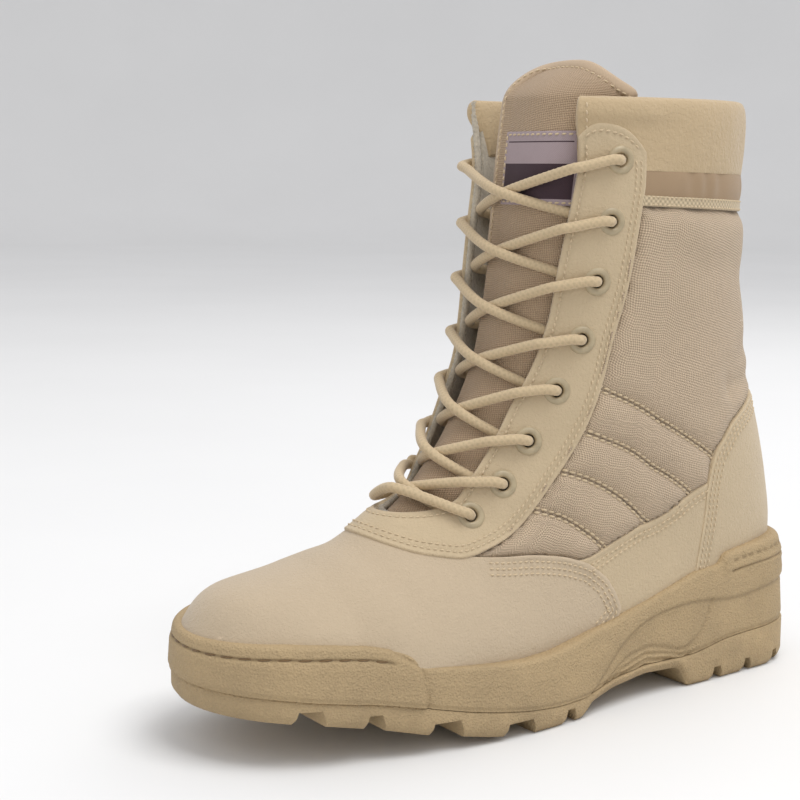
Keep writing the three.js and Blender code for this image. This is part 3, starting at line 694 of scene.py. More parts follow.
FINISHES = {     # maker, material name, colour, values
    "vamp": (make_suede, "Suede Vamp", "vamp", {"fibre": 1000.0, "patch": 45.0}),
    "panel": (make_suede, "Suede Panels", "panel", {"fibre": 850.0, "patch": 55.0}),
    "collar": (make_suede, "Suede Collar", "collar", {"fibre": 600.0, "patch": 35.0, "depth": 0.0007}),
    "cut_edge": (make_felt, "Suede Cut Edge", "cut_edge", {}),
    "nylon": (make_cloth, "Nylon Shaft", "nylon",
              {"threads": 680.0, "turn": 0.55, "depth": 0.0006, "dark": 0.52, "light": 1.22}),
    "tongue": (make_cloth, "Nylon Tongue", "tongue", {"threads": 780.0, "turn": 0.5, "depth": 0.0005}),
    "strip": (make_cloth, "Smooth Strip", "strip", {"threads": 1500.0, "dark": 0.85, "light": 1.06}),
    "webbing": (make_cloth, "Webbing", "webbing",
                {"threads": 420.0, "depth": 0.0004, "dark": 0.6, "light": 1.2}),
    "binding": (make_cloth, "Tongue Binding", "binding",
                {"threads": 1300.0, "turn": 0.3, "dark": 0.85, "light": 1.05}),
    "label": (make_cloth, "Label Field", "label", {"threads": 1400.0, "dark": 0.8, "light": 1.08}),
    "label_block": (make_cloth, "Label Block", "label_block", {"threads": 1400.0, "dark": 0.8}),
    "lining": (make_felt, "Grey Lining", "lining", {}),
    "insole": (make_felt, "Insole Felt", "insole", {}),
    "sidewall": (make_rubber, "Rubber Sidewall", "rubber", {}),
    "tread": (make_rubber, "Rubber Tread", "rubber", {"dust": 0.8}),
    "lace": (make_cord, "Braided Lace", "lace", {}),
    "thread": (make_cord, "Sewing Thread", "thread", {}),
    "dark_thread": (make_cord, "Bumper Thread", "dark_thread", {}),
    "eyelet": (make_enamel, "Eyelet Enamel", "eyelet", {}),
}
MATERIALS = {}


def finish(key):
    """The material of one finish, built the first time it is asked for."""
    if key not in MATERIALS:
        maker, name, colour, values = FINISHES[key]
        MATERIALS[key] = maker(name, getattr(bpy.context.scene.boot_colours, colour), **values)
    return MATERIALS[key]


# ---------------------------------------------------------------- panel curves, outer side
# (section, turn) pairs; the inner side is the mirror of these.
QUILTS = (
    ((5.30, 1.12), (5.66, 1.42), (6.17, 1.66), (6.70, 1.93)),
    ((6.36, 1.08), (6.68, 1.38), (7.13, 1.59), (7.64, 1.80)),
    ((7.45, 1.01), (7.58, 1.22), (7.92, 1.42), (8.50, 1.62)),
    ((8.60, 0.95), (8.68, 1.14), (8.94, 1.29), (9.30, 1.45)),
)
STAY_REAR = ((0.95, 1.352), (1.42, 1.36), (1.78, 1.35), (3.27, 1.28), (4.57, 1.18), (5.93, 1.13),
             (6.51, 1.10), (7.55, 1.04), (8.64, 0.99), (9.51, 0.95), (10.11, 0.90), (10.64, 0.84))
CRESCENT = ((10.88, 0.73), (11.07, 0.60), (11.15, 0.49), (11.22, 0.31), (11.25, 0.0))
STAY_FRONT = (0.72, 1.3, 1.78, 3.1, 4.3, 5.6, 6.2, 7.2, 8.0, 8.6, 8.85, 9.1, 9.35, 9.6, 9.8, 10.0, 10.17)
WING = ((10.30, 0.0), (10.30, 0.5), (10.45, 0.75), (10.47, 0.86), (10.24, 0.98), (9.92, 1.11), (9.75, 1.24),
        (9.73, 1.31), (9.75, 1.39), (9.88, 1.47), (10.02, 1.54), (10.3, 1.63), (10.62, 1.76), (11.1, 1.9),
        (11.6, 2.05))
STRAP = ((10.0, 1.18), (9.80, 1.30), (9.56, 1.38), (8.94, 1.48), (8.24, 1.63), (7.60, 1.77), (7.25, 1.9),
         (6.75, 2.12))
COUNTER = ((4.96, 3.02), (5.0, 2.85), (5.1, 2.62), (5.32, 2.37), (5.76, 2.11), (6.25, 1.98), (6.66, 1.91),
           (7.49, 1.87), (8.04, 1.87), (8.75, 1.88), (9.39, 1.92), (10.3, 1.98))
SOLE_LINE = ((0.0, 18.05), (0.6, 17.71), (0.9, 16.64), (1.1, 14.62), (1.3, 13.06), (1.5, 12.39), (1.7, 11.68),
             (1.8, 9.96), (1.9, 9.4), (2.0, 9.16), (2.2, 8.6), (2.4, 8.39), (2.7, 8.22), (3.15, 8.14))
# Sewn rows: distances in from the edge of the vamp wing, the strap and the counter.
WING_ROWS, STRAP_ROWS, COUNTER_ROWS = (2.6, 5.0, 7.4), (3.0, 5.4), (2.4, 4.8, 7.2)
# Distances in from a cut edge at which panels have points.
EDGE_STEPS, THIN_EDGE_STEPS = (0, 0.12, 0.35, 0.8, 1.5), (0, 0.12, 0.4)
BAND_TURN, BAND_SECTION = 1.3, 1.9     # where the bands round the shaft start, and their lower edge
BASE_LEVEL = -0.9                # where cloth and suede rise from, against the last's outer face
SUNK_LEVEL = -1.45               # cloth that runs under another panel
CREASES = (  # curve, depth, width
    (((4.75, 2.85), (4.8, 2.45), (5.05, 2.1)), 1.5, 5.0),
    (((4.1, 2.9), (4.3, 2.5), (4.75, 2.1)), 0.9, 7.0),
    (((3.0, 2.7), (2.7, 2.2), (2.75, 1.8)), 0.7, 9.0),
    (((2.1, 1.6), (2.5, 1.9), (2.6, 2.4)), -0.5, 8.0),
)
VAMP_CREASES = (
    (((12.3, -0.9), (12.0, -0.2), (12.1, 0.5), (12.5, 1.1)), 0.35, 6.0),
    (((13.2, -1.0), (13.0, 0.0), (13.3, 1.0)), -0.25, 8.0),
)


def both(curve):
    """A panel curve on the outer side and its mirror on the inner side."""
    return [np.array(curve, float), mirrored(curve)]


def on_last(pairs, step=1.2):
    """Points of a panel curve on the last's outer face."""
    f = flow(pairs, step)
    return skin(f[:, 0], f[:, 1])


def dents(gap, rows, width):
    """Where sewn rows press into a panel, from the distance to its edge."""
    return sum(bell(gap - row, width) for row in rows)


def troughs(points, creases):
    """Inward depth of the listed creases at points."""
    depth = np.zeros(points.shape[:-1])
    for curve, deep, wide in creases:
        for side in both(curve):
            gap = near(points, [on_last(side, 3.0)])
            depth += deep * bell(gap, wide)
    return depth


def sole_column(x, name, blur):
    """Column of the sole table with its corners softened over blur millimetres."""
    fine = np.arange(-165, 165.25, 0.25)
    values = np.interp(fine, SOLE[:, 0], SOLE[:, SOLE_COLUMNS.index(name)])
    kernel = np.exp(-0.5 * (np.arange(-4 * blur, 4 * blur + 0.25, 0.25) / blur) ** 2)
    padded = np.pad(values, len(kernel) // 2, mode="edge")
    values = np.convolve(padded, kernel / kernel.sum(), mode="valid")[:len(fine)]
    return np.interp(x, fine, values)


def spaced(width, count, edge=EDGE_STEPS, both_ends=True):
    """Shares from 0 to 1 across each width, close together near the cut edges."""
    width = np.atleast_1d(np.asarray(width, float))[:, None]
    first = np.array(edge)[None, :] / width
    last = 1 - first[:, ::-1] if both_ends else np.ones((len(width), 1))
    middle = np.linspace(0, 1, count + 2)[None, 1:-1]
    return np.concatenate([first, first[:, -1:] + (last[:, :1] - first[:, -1:]) * middle, last], axis=1)


def edge_gap(points, rows=(True, True), cols=(True, True)):
    """Distance of grid points from the cut edges named by rows and cols."""
    best = np.full(points.shape[:2], 1e3)
    down, over = steps(points, 0), steps(points, 1)
    gaps = (down, down[-1:] - down, over, over[:, -1:] - over)
    for wanted, gap in zip((*rows, *cols), gaps):
        if wanted:
            best = np.minimum(best, gap)
    return best


def cut_profile(gap, radius=0.8):
    """Rise of a cut leather edge: half of it upright, then rounded over."""
    return 0.45 + 0.55 * rounded(gap / radius)


def punched(top, bottom, keep, places, radius):
    """Round holes through both grids at eyelet places; returns which cells stay."""
    keep = keep.copy()
    for place, axis in places:
        rel = top - place
        flat = rel - (rel @ axis)[..., None] * axis
        gap = np.where(np.abs(rel @ axis) < 12, np.linalg.norm(flat, axis=-1), 1e3)
        out = (cell_middles(gap) < radius) & keep
        near_out = np.zeros(top.shape[:2], bool)
        near_kept = np.zeros(top.shape[:2], bool)
        stays = keep & ~out
        for dj in (0, 1):
            for di in (0, 1):
                near_out[dj:dj + out.shape[0], di:di + out.shape[1]] |= out
                near_kept[dj:dj + out.shape[0], di:di + out.shape[1]] |= stays
        ring = near_out & near_kept & (gap < 3 * radius)
        for grid in (top, bottom):
            rel = grid[ring] - place
            up = (rel @ axis)[:, None] * axis
            flat = rel - up
            flat *= radius / np.maximum(np.linalg.norm(flat, axis=1, keepdims=True), 1e-6)
            grid[ring] = place + up + flat
        keep = stays
    return keep


def cell_middles(grid):
    return (grid[:-1, :-1] + grid[1:, :-1] + grid[:-1, 1:] + grid[1:, 1:]) / 4


def above_sole(points, margin):
    """Cells whose middle is higher than margin below the top edge of the sole."""
    return cell_middles(points[..., 2] - (sole_column(points[..., 0], "top", 1.0) - margin)) > 0


def eyelet_place(k, side):
    """Middle and outward direction of an eyelet, with its section and turn."""
    v, off = EYELETS[k]
    t = turn_from_edge(v, off, side)
    return skin(v, t), bare_normal(v, t), v, t


def with_holes(top, bottom, keep):
    """Cells that stay once the holes for all the eyelets are through the leather."""
    places = [eyelet_place(k, side)[:2] for side in (1, -1) for k in range(len(EYELETS))]
    return punched(top, bottom, keep, places, HOLE)


HOLE = 3.95                      # radius of those holes, hidden under the flange


# ---------------------------------------------------------------- soft upper
def across_back(t):
    """Turn from the front, the same on both sides."""
    return np.minimum(t, 2 * np.pi - t)


def read_curve(pairs, at, by_turn=False):
    """Turn of a panel curve at a section, or by_turn its section at a turn."""
    dense = smooth_path(pairs, 300)
    key, value = (1, 0) if by_turn else (0, 1)
    return np.interp(at, dense[:, key], dense[:, value])


def under_panels(v, t):
    """Where the nylon runs under suede, tape or the back strip."""
    a = across_back(t)
    hidden = a < read_curve(STAY_REAR, v) - 0.035
    hidden |= (a > read_curve(COUNTER, v) + 0.035) & (v > 5.0)
    hidden |= (v > read_curve(STRAP, a, True) + 0.11) & (a > 1.2) & (v > 6.9)
    hidden |= v > wing_curve(a) + 0.11
    hidden |= (a > np.pi - 0.24) & (v > BAND_SECTION)
    return hidden | (v < BAND_SECTION - 0.06)


def make_shaft():
    """Nylon shaft over a grey lining, padded and quilted behind the ankle."""
    puff = bpy.context.scene.boot_sizes.quilt_puff / MM
    v = np.linspace(0.14, 10.8, 172)
    open_v = np.minimum(v, 8.7)      # below this the columns no longer follow the closing throat
    front = throat_turn(open_v, 1)[:, None] + 0.014
    back = 2 * np.pi + throat_turn(open_v, -1)[:, None] - 0.014
    v, t = np.broadcast_arrays(v[:, None], front + (back - front) * np.linspace(0, 1, 232)[None, :])
    base = skin(v, t)
    seams = [on_last(side) for curve in QUILTS for side in both(curve)]
    borders = [on_last(side) for curve in (STAY_REAR, STRAP[1:7], COUNTER[1:], WING) for side in both(curve)]
    band_turns = (BAND_TURN, 2.3, np.pi, 4.0, 2 * np.pi - BAND_TURN)
    borders.append(on_last([(BAND_SECTION, turn) for turn in band_turns]))
    seam_gap, border_gap = near(base, seams), near(base, borders)
    pad = rounded(seam_gap / 10) * rounded((border_gap - 0.4) / 8)
    crease_depth, pucker = 1.5, 0.35
    level = BASE_LEVEL + puff * pad - crease_depth * troughs(base, CREASES)
    level -= pucker * bell(seam_gap - 1.3, 0.8)
    level = np.where(under_panels(v, t), SUNK_LEVEL, level)
    top, bottom = skin(v, t, level), skin(v, t, -wall(v) + 0.3)
    over_bed = top[..., 2] - sole_column(top[..., 0], "bed", 2.0)
    keep = (over_bed[:-1, :-1] + over_bed[1:, 1:]) / 2 > -2
    keep = with_holes(top, bottom, keep)
    # painted shade in the quilting troughs and along the borders under the panels' edges
    seam_shade = np.clip(bell(seam_gap, 1.0) + 0.6 * bell(border_gap, 0.9), 0, 1)
    finishes = [finish("nylon"), finish("lining"), finish("lining")]
    shaft = slab("shaft", top, bottom, finishes, keep, marks={"seam": seam_shade})
    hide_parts("upper")


def stay_edges():
    """Front and rear edges of the eyelet panel, from the outer collar round the throat to the inner one."""
    half = STAY_REAR + CRESCENT
    rear = smooth_path(np.concatenate([half, mirrored(half)[-2::-1]]), 1500)
    down = np.array(STAY_FRONT)
    depth = smooth_path(np.concatenate([down, down[-2::-1]])[:, None], 1500)[:, 0]
    outer = np.linspace(0, 2 * len(down) - 2, 1500) <= len(down) - 1
    round_end = THROAT_END - THROAT_ROUND * (1 - np.sin(np.clip(depth - 8.6, 0, np.pi / 2)))
    v = np.where(depth < 8.6, depth, round_end)
    front = np.stack([v, np.where(outer, throat_turn(v, 1), throat_turn(v, -1))], -1)
    middle = (skin(front[:, 0], front[:, 1]) + skin(rear[:, 0], rear[:, 1])) / 2
    return front, rear, lengths(middle)


def stay_arch(u):
    """How far the rounded top end of a stay rises, in sections, across its width."""
    return 0.36 * (1 - np.abs(2 * u - 1) ** 2.6)


def below_throat(v):
    """0 beside the throat, 1 on the crescent under it, where the panel lies on the vamp."""
    return ease((v - 9.2) / 1.2)


def make_eyelet_panel():
    """One suede panel round the throat: both eyelet stays and the crescent that joins them."""
    thick = bpy.context.scene.boot_sizes.suede / MM
    front, rear, gone = stay_edges()
    total = gone[-1]
    ends = np.array(EDGE_STEPS)
    at = np.concatenate([ends, np.linspace(2.5, total - 2.5, int(total / 1.3)), total - ends[::-1]])
    front, rear = sample(at, gone, front), sample(at, gone, rear)
    width = np.linalg.norm(skin(front[:, 0], front[:, 1]) - skin(rear[:, 0], rear[:, 1]), axis=1)
    u = spaced(width, 20)
    v = front[:, :1] + (rear[:, :1] - front[:, :1]) * u
    t = front[:, 1:] + (rear[:, 1:] - front[:, 1:]) * u
    from_top = np.minimum(at, total - at)[:, None]
    v = v - stay_arch(u) * np.clip(1 - from_top / 26, 0, 1) ** 1.5
    gap = edge_gap(skin(v, t))
    low = below_throat(v)
    level = BASE_LEVEL + (thick + 0.3 + 1.2 * low) * cut_profile(gap) - 0.22 * bell(gap - 3.0, 0.7)
    level += 0.35 * np.sin(v * 2.1 + t * 3) * np.clip(gap / 12, 0, 1) * (1 - low)
    at_throat = edge_gap(skin(v, t), rows=(False, False), cols=(True, False))
    top, bottom = skin(v, t, level), skin(v, t, -1.0 - 1.6 * ease((1.6 - at_throat) / 0.8))
    keep = with_holes(top, bottom, np.ones((len(at) - 1, u.shape[1] - 1), bool))
    # painted shade in the dent of the sewn row
    marks = {"seam": 0.5 * bell(gap - 3.0, 0.45)}
    piece = slab("eyelet_panel", top, bottom, suede_finishes("panel"), keep, marks=marks)
    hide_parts("upper")


def suede_finishes(face):
    """Face, back and cut edge of a suede panel."""
    return [finish(face), finish("cut_edge"), finish("cut_edge")]


def wing_curve(t):
    """Section at which the vamp starts, at turns t."""
    dense = smooth_path(WING, 400)
    return np.interp(np.abs(t), dense[:, 1], dense[:, 0])


def make_vamp():
    """Suede vamp over the toes, with wings that lie on the quarters."""
    thick = bpy.context.scene.boot_sizes.suede / MM
    t = np.linspace(-2.0, 2.0, 232)
    start, stop = wing_curve(t), 18.96
    s = spaced(np.full(len(t), 90.0), 84, both_ends=False).T
    v = start[None, :] + (stop - start[None, :]) * s
    t = np.broadcast_to(t[None, :], v.shape)
    base = skin(v, t)
    gap = edge_gap(base, rows=(True, False), cols=(False, False))
    wing = ease((np.abs(t) - 0.85) / 0.25)
    level = BASE_LEVEL + (thick + 0.5) * cut_profile(gap) + 0.55 * wing * np.exp(-gap / 14)
    level -= 0.2 * wing * dents(gap, WING_ROWS, 0.55)
    level -= troughs(base, VAMP_CREASES)
    over_rim = base[..., 2] - sole_column(base[..., 0], "top", 1.0)
    # fuller just above the rim of the sole, and over the toes
    level += 1.9 * ease((v - 13.2) / 1.5) * bell(np.maximum(over_rim, 0), 7)
    level += 3.6 * ease((v - 14.0) / 3.5) * ease(over_rim / 11) * bell(np.maximum(over_rim - 10, 0), 18)
    top = skin(v, t, level)
    bottom = skin(v, t, lerp(-1.0, -2.5, ease((v - 10.9) / 1.0)))
    keep = above_sole(base, 6.0)
    # painted shade in the dents of the wing's sewn rows
    marks = {"seam": 0.45 * wing * dents(gap, WING_ROWS, 0.5)}
    finishes = [finish("vamp"), finish("lining"), finish("cut_edge")]
    piece = slab("vamp", top, bottom, finishes, keep, marks=marks)
    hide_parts("upper")


def make_quarter_strap(name, side):
    """Slanting suede strap between the vamp wing and the heel counter."""
    thick = bpy.context.scene.boot_sizes.suede / MM
    dense = smooth_path(STRAP, 400)
    t = np.linspace(1.2, 2.1, 84)
    start = np.interp(t, dense[:, 1], dense[:, 0])
    stop = np.minimum(np.interp(t, [p[0] for p in SOLE_LINE], [p[1] for p in SOLE_LINE]) + 0.9, 11.2)
    s = spaced(np.full(len(t), 40.0), 34, both_ends=False).T
    v = start[None, :] + (stop - start)[None, :] * s
    t = np.broadcast_to(side * t[None, :], v.shape)
    base = skin(v, t)
    gap = edge_gap(base, rows=(True, False), cols=(False, False))
    level = BASE_LEVEL + (thick + 0.2) * cut_profile(gap) - 0.2 * dents(gap, STRAP_ROWS, 0.55)
    top, bottom = skin(v, t, level), skin(v, t, -1.1)
    # painted shade in the dents of the strap's sewn rows
    marks = {"seam": 0.45 * dents(gap, STRAP_ROWS, 0.5)}
    piece = slab(name, top, bottom, suede_finishes("panel"), above_sole(base, 5.0), marks=marks)
    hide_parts("upper")


def make_counter():
    """Heel counter that wraps the heel and tapers up the back."""
    thick = bpy.context.scene.boot_sizes.suede / MM
    edge = flow(COUNTER, 1.3)
    left = skin(edge[:, 0], edge[:, 1])
    right = skin(edge[:, 0], 2 * np.pi - edge[:, 1])
    u = spaced(np.maximum(np.linalg.norm(left - right, axis=1) * 1.3, 4.0), 84)
    v = np.broadcast_to(edge[:, :1], u.shape)
    t = edge[:, 1:] + (2 * np.pi - 2 * edge[:, 1:]) * u
    base = skin(v, t)
    outline = [left, right, skin(edge[0, 0], np.linspace(edge[0, 1], 2 * np.pi - edge[0, 1], 30))]
    gap = near(base, [even(line, 0.5) for line in outline])
    gap = np.where((u <= 0) | (u >= 1) | (np.arange(len(edge)) == 0)[:, None], 0, gap)
    back_seam = bell(np.abs(t - np.pi) * 34, 0.8) * ease((v - 5.2) / 0.3)
    level = BASE_LEVEL + (thick + 0.85) * cut_profile(gap) - 0.2 * dents(gap, COUNTER_ROWS, 0.55)
    level -= 0.45 * back_seam
    top, bottom = skin(v, t, level), skin(v, t, -1.1)
    # painted shade in the dents of the sewn rows and in the back-seam groove
    marks = {"seam": np.clip(0.45 * dents(gap, COUNTER_ROWS, 0.5) + back_seam, 0, 1)}
    piece = slab("heel_counter", top, bottom, suede_finishes("panel"), above_sole(base, 6.0), marks=marks)
    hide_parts("upper")


def loft(name, rings, finishes, marks=None):
    """Closed body through closed rings of points, with a fan of triangles at each end."""
    n, m = rings.shape[:2]
    points = np.concatenate([rings.reshape(-1, 3), rings[:1].mean(1), rings[-1:].mean(1)])
    faces = ring_faces(n, m)
    for base, middle in ((0, n * m), ((n - 1) * m, n * m + 1)):
        faces += [[base + k, base + (k + 1) % m, middle] for k in range(m)]
    u = np.broadcast_to(lengths(rings.mean(1))[:, None], (n, m))
    uv = np.concatenate([np.stack([u, steps(rings, 1)], -1).reshape(-1, 2), np.zeros((2, 2))]) * MM
    values = {key: np.append(grid.ravel(), [0, 0]) for key, grid in (marks or {}).items()}
    return mesh_object(name, points, faces, finishes, None, 60, uv, values)


COLLAR_SECTION = (       # section of the last, level
    (1.27, -0.6), (1.27, 0.2), (1.25, 0.75), (1.1, 1.35), (0.9, 1.8), (0.65, 2.0), (0.4, 1.9), (0.2, 1.3),
    (0.08, 0.3), (0.02, -1.2), (0.0, -2.8), (0.03, -4.4), (0.13, -5.7), (0.3, -6.5), (0.5, -6.7),
    (0.75, -6.2), (0.95, -5.4), (1.05, -4.4), (1.05, -3.0), (1.1, -1.6))


def make_collar():
    """Padded suede collar, rolled over the top edge."""
    dense = smooth_path(COLLAR_SECTION + COLLAR_SECTION[:1], 71)[:-1]
    outer_end, inner_end = float(throat_turn(0.4, 1)), float(throat_turn(0.4, -1))
    first, last = outer_end - 0.012, 2 * np.pi + inner_end + 0.012
    tips = np.array([0, 0.0012, 0.003, 0.006])
    share = np.concatenate([tips, np.linspace(0.01, 0.99, 240), [0.994, 0.997, 0.9988, 1]])
    t = first + (last - first) * share
    v, level = dense[None, :, 0], dense[None, :, 1]
    edge = throat_turn(np.clip(np.broadcast_to(v, (len(t), len(dense))), 0, 2), 1)
    end = np.minimum(share, 1 - share)
    shrink = rounded(end / 0.006) * 0.9 + 0.1
    v_middle, level_middle = 0.6, -2.4
    v = v_middle + (v - v_middle) * (0.55 + 0.45 * shrink[:, None])
    level = level_middle + (level - level_middle) * shrink[:, None]
    puffed = ease((across_back(t) - 1.3) / 0.35)[:, None]
    belly = np.sin(np.clip(v / 1.27, 0, 1) * np.pi)
    pressed = -0.7 * puffed - 1.75 * (1 - puffed) * ease((v - 0.25) / 0.3)
    level = level + np.where(dense[None, :, 1] > -0.2, pressed * belly ** 0.6, 0)
    v, t_all = np.broadcast_arrays(v, t[:, None])
    pinch = 0.28 * np.sin(t_all * 11 + 2 * np.sin(t_all * 5)) * belly * puffed
    at_end = np.clip(1 - end / 0.02, 0, 1)[:, None] * np.where(t < np.pi, 1, -1)[:, None]
    rings = skin(v, t_all + (edge - outer_end) * at_end, level + pinch)
    piece = loft("collar_band", rings, [finish("collar")], {"seam": np.zeros(level.shape)})
    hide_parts("upper")


def make_band(name, v_range, level, thick, key, bulge=0.0, wrinkle=0.0):
    """Flat band round the shaft between two section numbers."""
    t = np.linspace(BAND_TURN, 2 * np.pi - BAND_TURN, 220)
    section_height = 22
    s = spaced((v_range[1] - v_range[0]) * section_height, 9, edge=THIN_EDGE_STEPS)[0]
    v, t = np.broadcast_arrays((v_range[0] + (v_range[1] - v_range[0]) * s)[:, None], t[None, :])
    gap = edge_gap(skin(v, t))
    belly = np.sin(s * np.pi)[:, None]
    fold = wrinkle * np.sin(t * 23 + 3 * np.sin(t * 7)) * belly
    tucked = 2.0 * (across_back(t) < read_curve(STAY_REAR, v) - 0.02)     # ends run under the eyelet panel
    top = skin(v, t, level + thick * cut_profile(gap, 0.4) + bulge * belly + fold - tucked)
    bottom = skin(v, t, level - 0.4 - tucked)
    piece = slab(name, top, bottom, [finish(key)] * 3, marks={"seam": np.zeros(v.shape)})
    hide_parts("upper")


def make_back_strip():
    """Narrow nylon strip over the centre back seam."""
    v = np.linspace(1.85, 5.4, 70)[:, None]
    u = spaced(20.0, 14, edge=THIN_EDGE_STEPS)[0][None, :]
    v, u = np.broadcast_arrays(v, u)
    t = np.pi + (u - 0.5) * 0.52
    base = skin(v, t)
    gap = edge_gap(base, rows=(False, False))
    level = -0.3 + 1.3 * cut_profile(gap, 0.4) - 0.2 * bell(gap - 2.2, 0.5)
    creased = troughs(base, CREASES)
    top, bottom = skin(v, t, level - creased), skin(v, t, -1.2 - creased)
    # painted shade along the strip's edges
    piece = slab("back_strip", top, bottom, [finish("nylon")] * 3, marks={"seam": 0.3 * bell(gap, 0.6)})
    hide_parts("upper")


# ---------------------------------------------------------------- tongue
TONGUE_RISE, TONGUE_LEAN, TONGUE_TURN, TONGUE_THICK = 14.5, 18, 0.06, 6.0


def tongue_point(along, across, inset):
    """along: section number, or 0 to -1 for the part above the collar; across: -1 to 1."""
    along, across, inset = grids(along, across, inset)
    v = np.maximum(along, 0)
    # the tongue reaches further round on the outer side
    reach = np.where(across > 0, lerp(1.32, 0.85, v / 10), lerp(0.45, 0.78, ease((v - 1.5) / 6)))
    p = skin_plain(v, TONGUE_TURN + reach * across, -(wall(v) + inset))
    front = skin_plain(v, TONGUE_TURN + 0 * across, -(wall(v) + inset))
    flat = 0.22 * ease(-across) * ease((9 - v) / 5)
    p[..., 0] += flat * (front[..., 0] - p[..., 0])
    lift = np.maximum(-along, 0) * (0.1 + 0.9 * (1 - across ** 2))
    p[..., 2] += TONGUE_RISE * lift
    p[..., 0] -= TONGUE_LEAN * lift ** 1.5
    return p


def skin_plain(v, t, level):
    """Point at a level above the last's outer face, without the looseness of the flaps."""
    return bare_form(v, t) + bare_normal(v, t) * np.asarray(level, float)[..., None]


def make_tongue():
    """Padded nylon tongue behind the throat."""
    along = np.concatenate([np.linspace(10.2, 0, 150), np.linspace(0, -1, 24)[1:]])[:, None]
    across = np.sin(np.linspace(-1, 1, 71) * np.pi / 2)[None, :]
    along, across = np.broadcast_arrays(along, across)
    full = np.sqrt(np.maximum(0, 1 - np.abs(across) ** 5))
    full = full * np.sqrt(np.clip(1 - np.clip(-along, 0, 1) ** 6, 0, 1))
    full = full * np.sqrt(np.clip((10.25 - along) / 0.5, 0, 1))
    middle = 1.0 + TONGUE_THICK / 2
    pad = 0.35 * np.cos(across * 9) * full
    top = tongue_point(along, across, middle - TONGUE_THICK / 2 * full - pad)
    bottom = tongue_point(along, across, middle + 0.05 + TONGUE_THICK / 2 * full)
    finishes = [finish("tongue"), finish("lining"), finish("binding")]
    piece = slab("tongue_pad", top, bottom, finishes, marks={"seam": np.zeros(full.shape)})
    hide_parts("tongue")


def tongue_border():
    """Edge of the tongue from one side, over the top, to the other: its line, the way it faces, inwards."""
    side = [(a, -1.0) for a in np.linspace(3.0, 0, 40)] + [(a, -1.0) for a in np.linspace(0, -1, 10)[1:]]
    over = [(-1.0, a) for a in np.sin(np.linspace(-1, 1, 90) * np.pi / 2)[1:-1]]
    pairs = np.array(side + over + [(a, 1.0) for a, _ in side[::-1]])
    points = tongue_point(pairs[:, 0], pairs[:, 1], 1.0 + TONGUE_THICK / 2)
    edge = soften(even(points, 1.5), 6)
    forward = along_curve(edge)
    facing = np.array([0.75, 0.0, 0.6]) + 0 * edge
    facing[:, 1] = edge[:, 1] / 40
    facing = unit(facing - forward * np.sum(facing * forward, axis=1, keepdims=True))
    inward = np.cross(forward, facing)
    inward *= np.sign(np.sum((edge.mean(0) - edge) * inward, axis=1, keepdims=True))
    return edge, facing, inward


def make_binding():
    """Smooth binding folded over the edge of the tongue."""
    edge, facing, inward = tongue_border()
    a = np.linspace(0, 2 * np.pi, 28, endpoint=False)
    squash = lambda w: np.sign(w) * np.abs(w) ** 0.75
    wide, deep = 3.1, TONGUE_THICK / 2 + 0.25
    rings = (edge[:, None] + inward[:, None] * (2.4 + wide * squash(np.cos(a)))[None, :, None]
             + facing[:, None] * (deep * squash(np.sin(a)))[None, :, None])
    piece = loft("tongue_binding", rings, [finish("binding")])
    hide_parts("tongue")


def make_throat_edge():
    """Fuzzy cut edge of the lining, showing along the throat."""
    down = np.linspace(0.03, THROAT_END - 0.05, 260)
    up = np.linspace(THROAT_END - 0.05, 0.03, 260)
    inner = skin(down, throat_turn(down, -1) + 0.006, -2.3)
    outer = skin(up, throat_turn(up, 1) + 0.035, -2.3)
    path = smooth_path(np.concatenate([inner[::4], outer[::4]]), 900)

    def fuzz(along, around):
        tufts = np.sin(along * 2.1 + 3 * around) * np.sin(along * 0.77 - 2 * around)
        return 0.22 * tufts + 0.12 * np.sin(along * 4.7 + around)

    piece = tube("throat_edge", path, 1.35, 14, finish("lining"), fuzz, 0.7)
    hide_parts("upper")


LABEL_ACROSS, LABEL_ALONG = (-0.36, 0.62), (1.92, 0.6)


def between(low, share, high):
    return (share > low) & (share < high)


def make_label():
    """Woven label on the tongue: a pale field with a line and a plain dark block, no lettering."""
    along = np.linspace(*LABEL_ALONG, 60)[:, None]
    across = np.linspace(*LABEL_ACROSS, 70)[None, :]
    along, across = np.broadcast_arrays(along, across)
    base = tongue_point(along, across, 0.4)
    gap = edge_gap(base)
    level = 0.55 * cut_profile(gap, 0.4)
    top, bottom = (tongue_point(along, across, inset) for inset in (0.75 - level, 1.6))
    tall, side = (np.arange(59) + 0.5) / 59, (np.arange(69) + 0.5) / 69
    block = between(0.09, tall, 0.56)[:, None] & between(0.07, side, 0.93)[None, :]
    line = between(0.84, tall, 0.87)[:, None] & between(0.1, side, 0.9)[None, :]
    piece = slab("tongue_label", top, bottom, [finish("label")] * 3 + [finish("label_block")],
                 top_finish=np.where(block | line, 3, 0), marks={"seam": np.zeros(base.shape[:2])})
    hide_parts("tongue")


# ---------------------------------------------------------------- eyelets and lace
def eyelet_section(depth):
    """Outline of an eyelet from its barrel over the flange to the clinched back: radius, height."""
    return np.array([(2.65, -depth), (2.62, 0.4), (2.7, 1.0), (3.0, 1.45), (3.5, 1.72), (4.1, 1.78),
                     (4.8, 1.6), (5.35, 1.2), (5.7, 0.65), (5.75, 0.25), (5.5, 0.0), (3.7, -0.2),
                     (3.62, -depth + 0.2),
                     (4.9, -depth - 0.1), (5.1, -depth - 0.5), (4.6, -depth - 0.85), (3.4, -depth - 0.9),
                     (2.8, -depth - 0.6)])


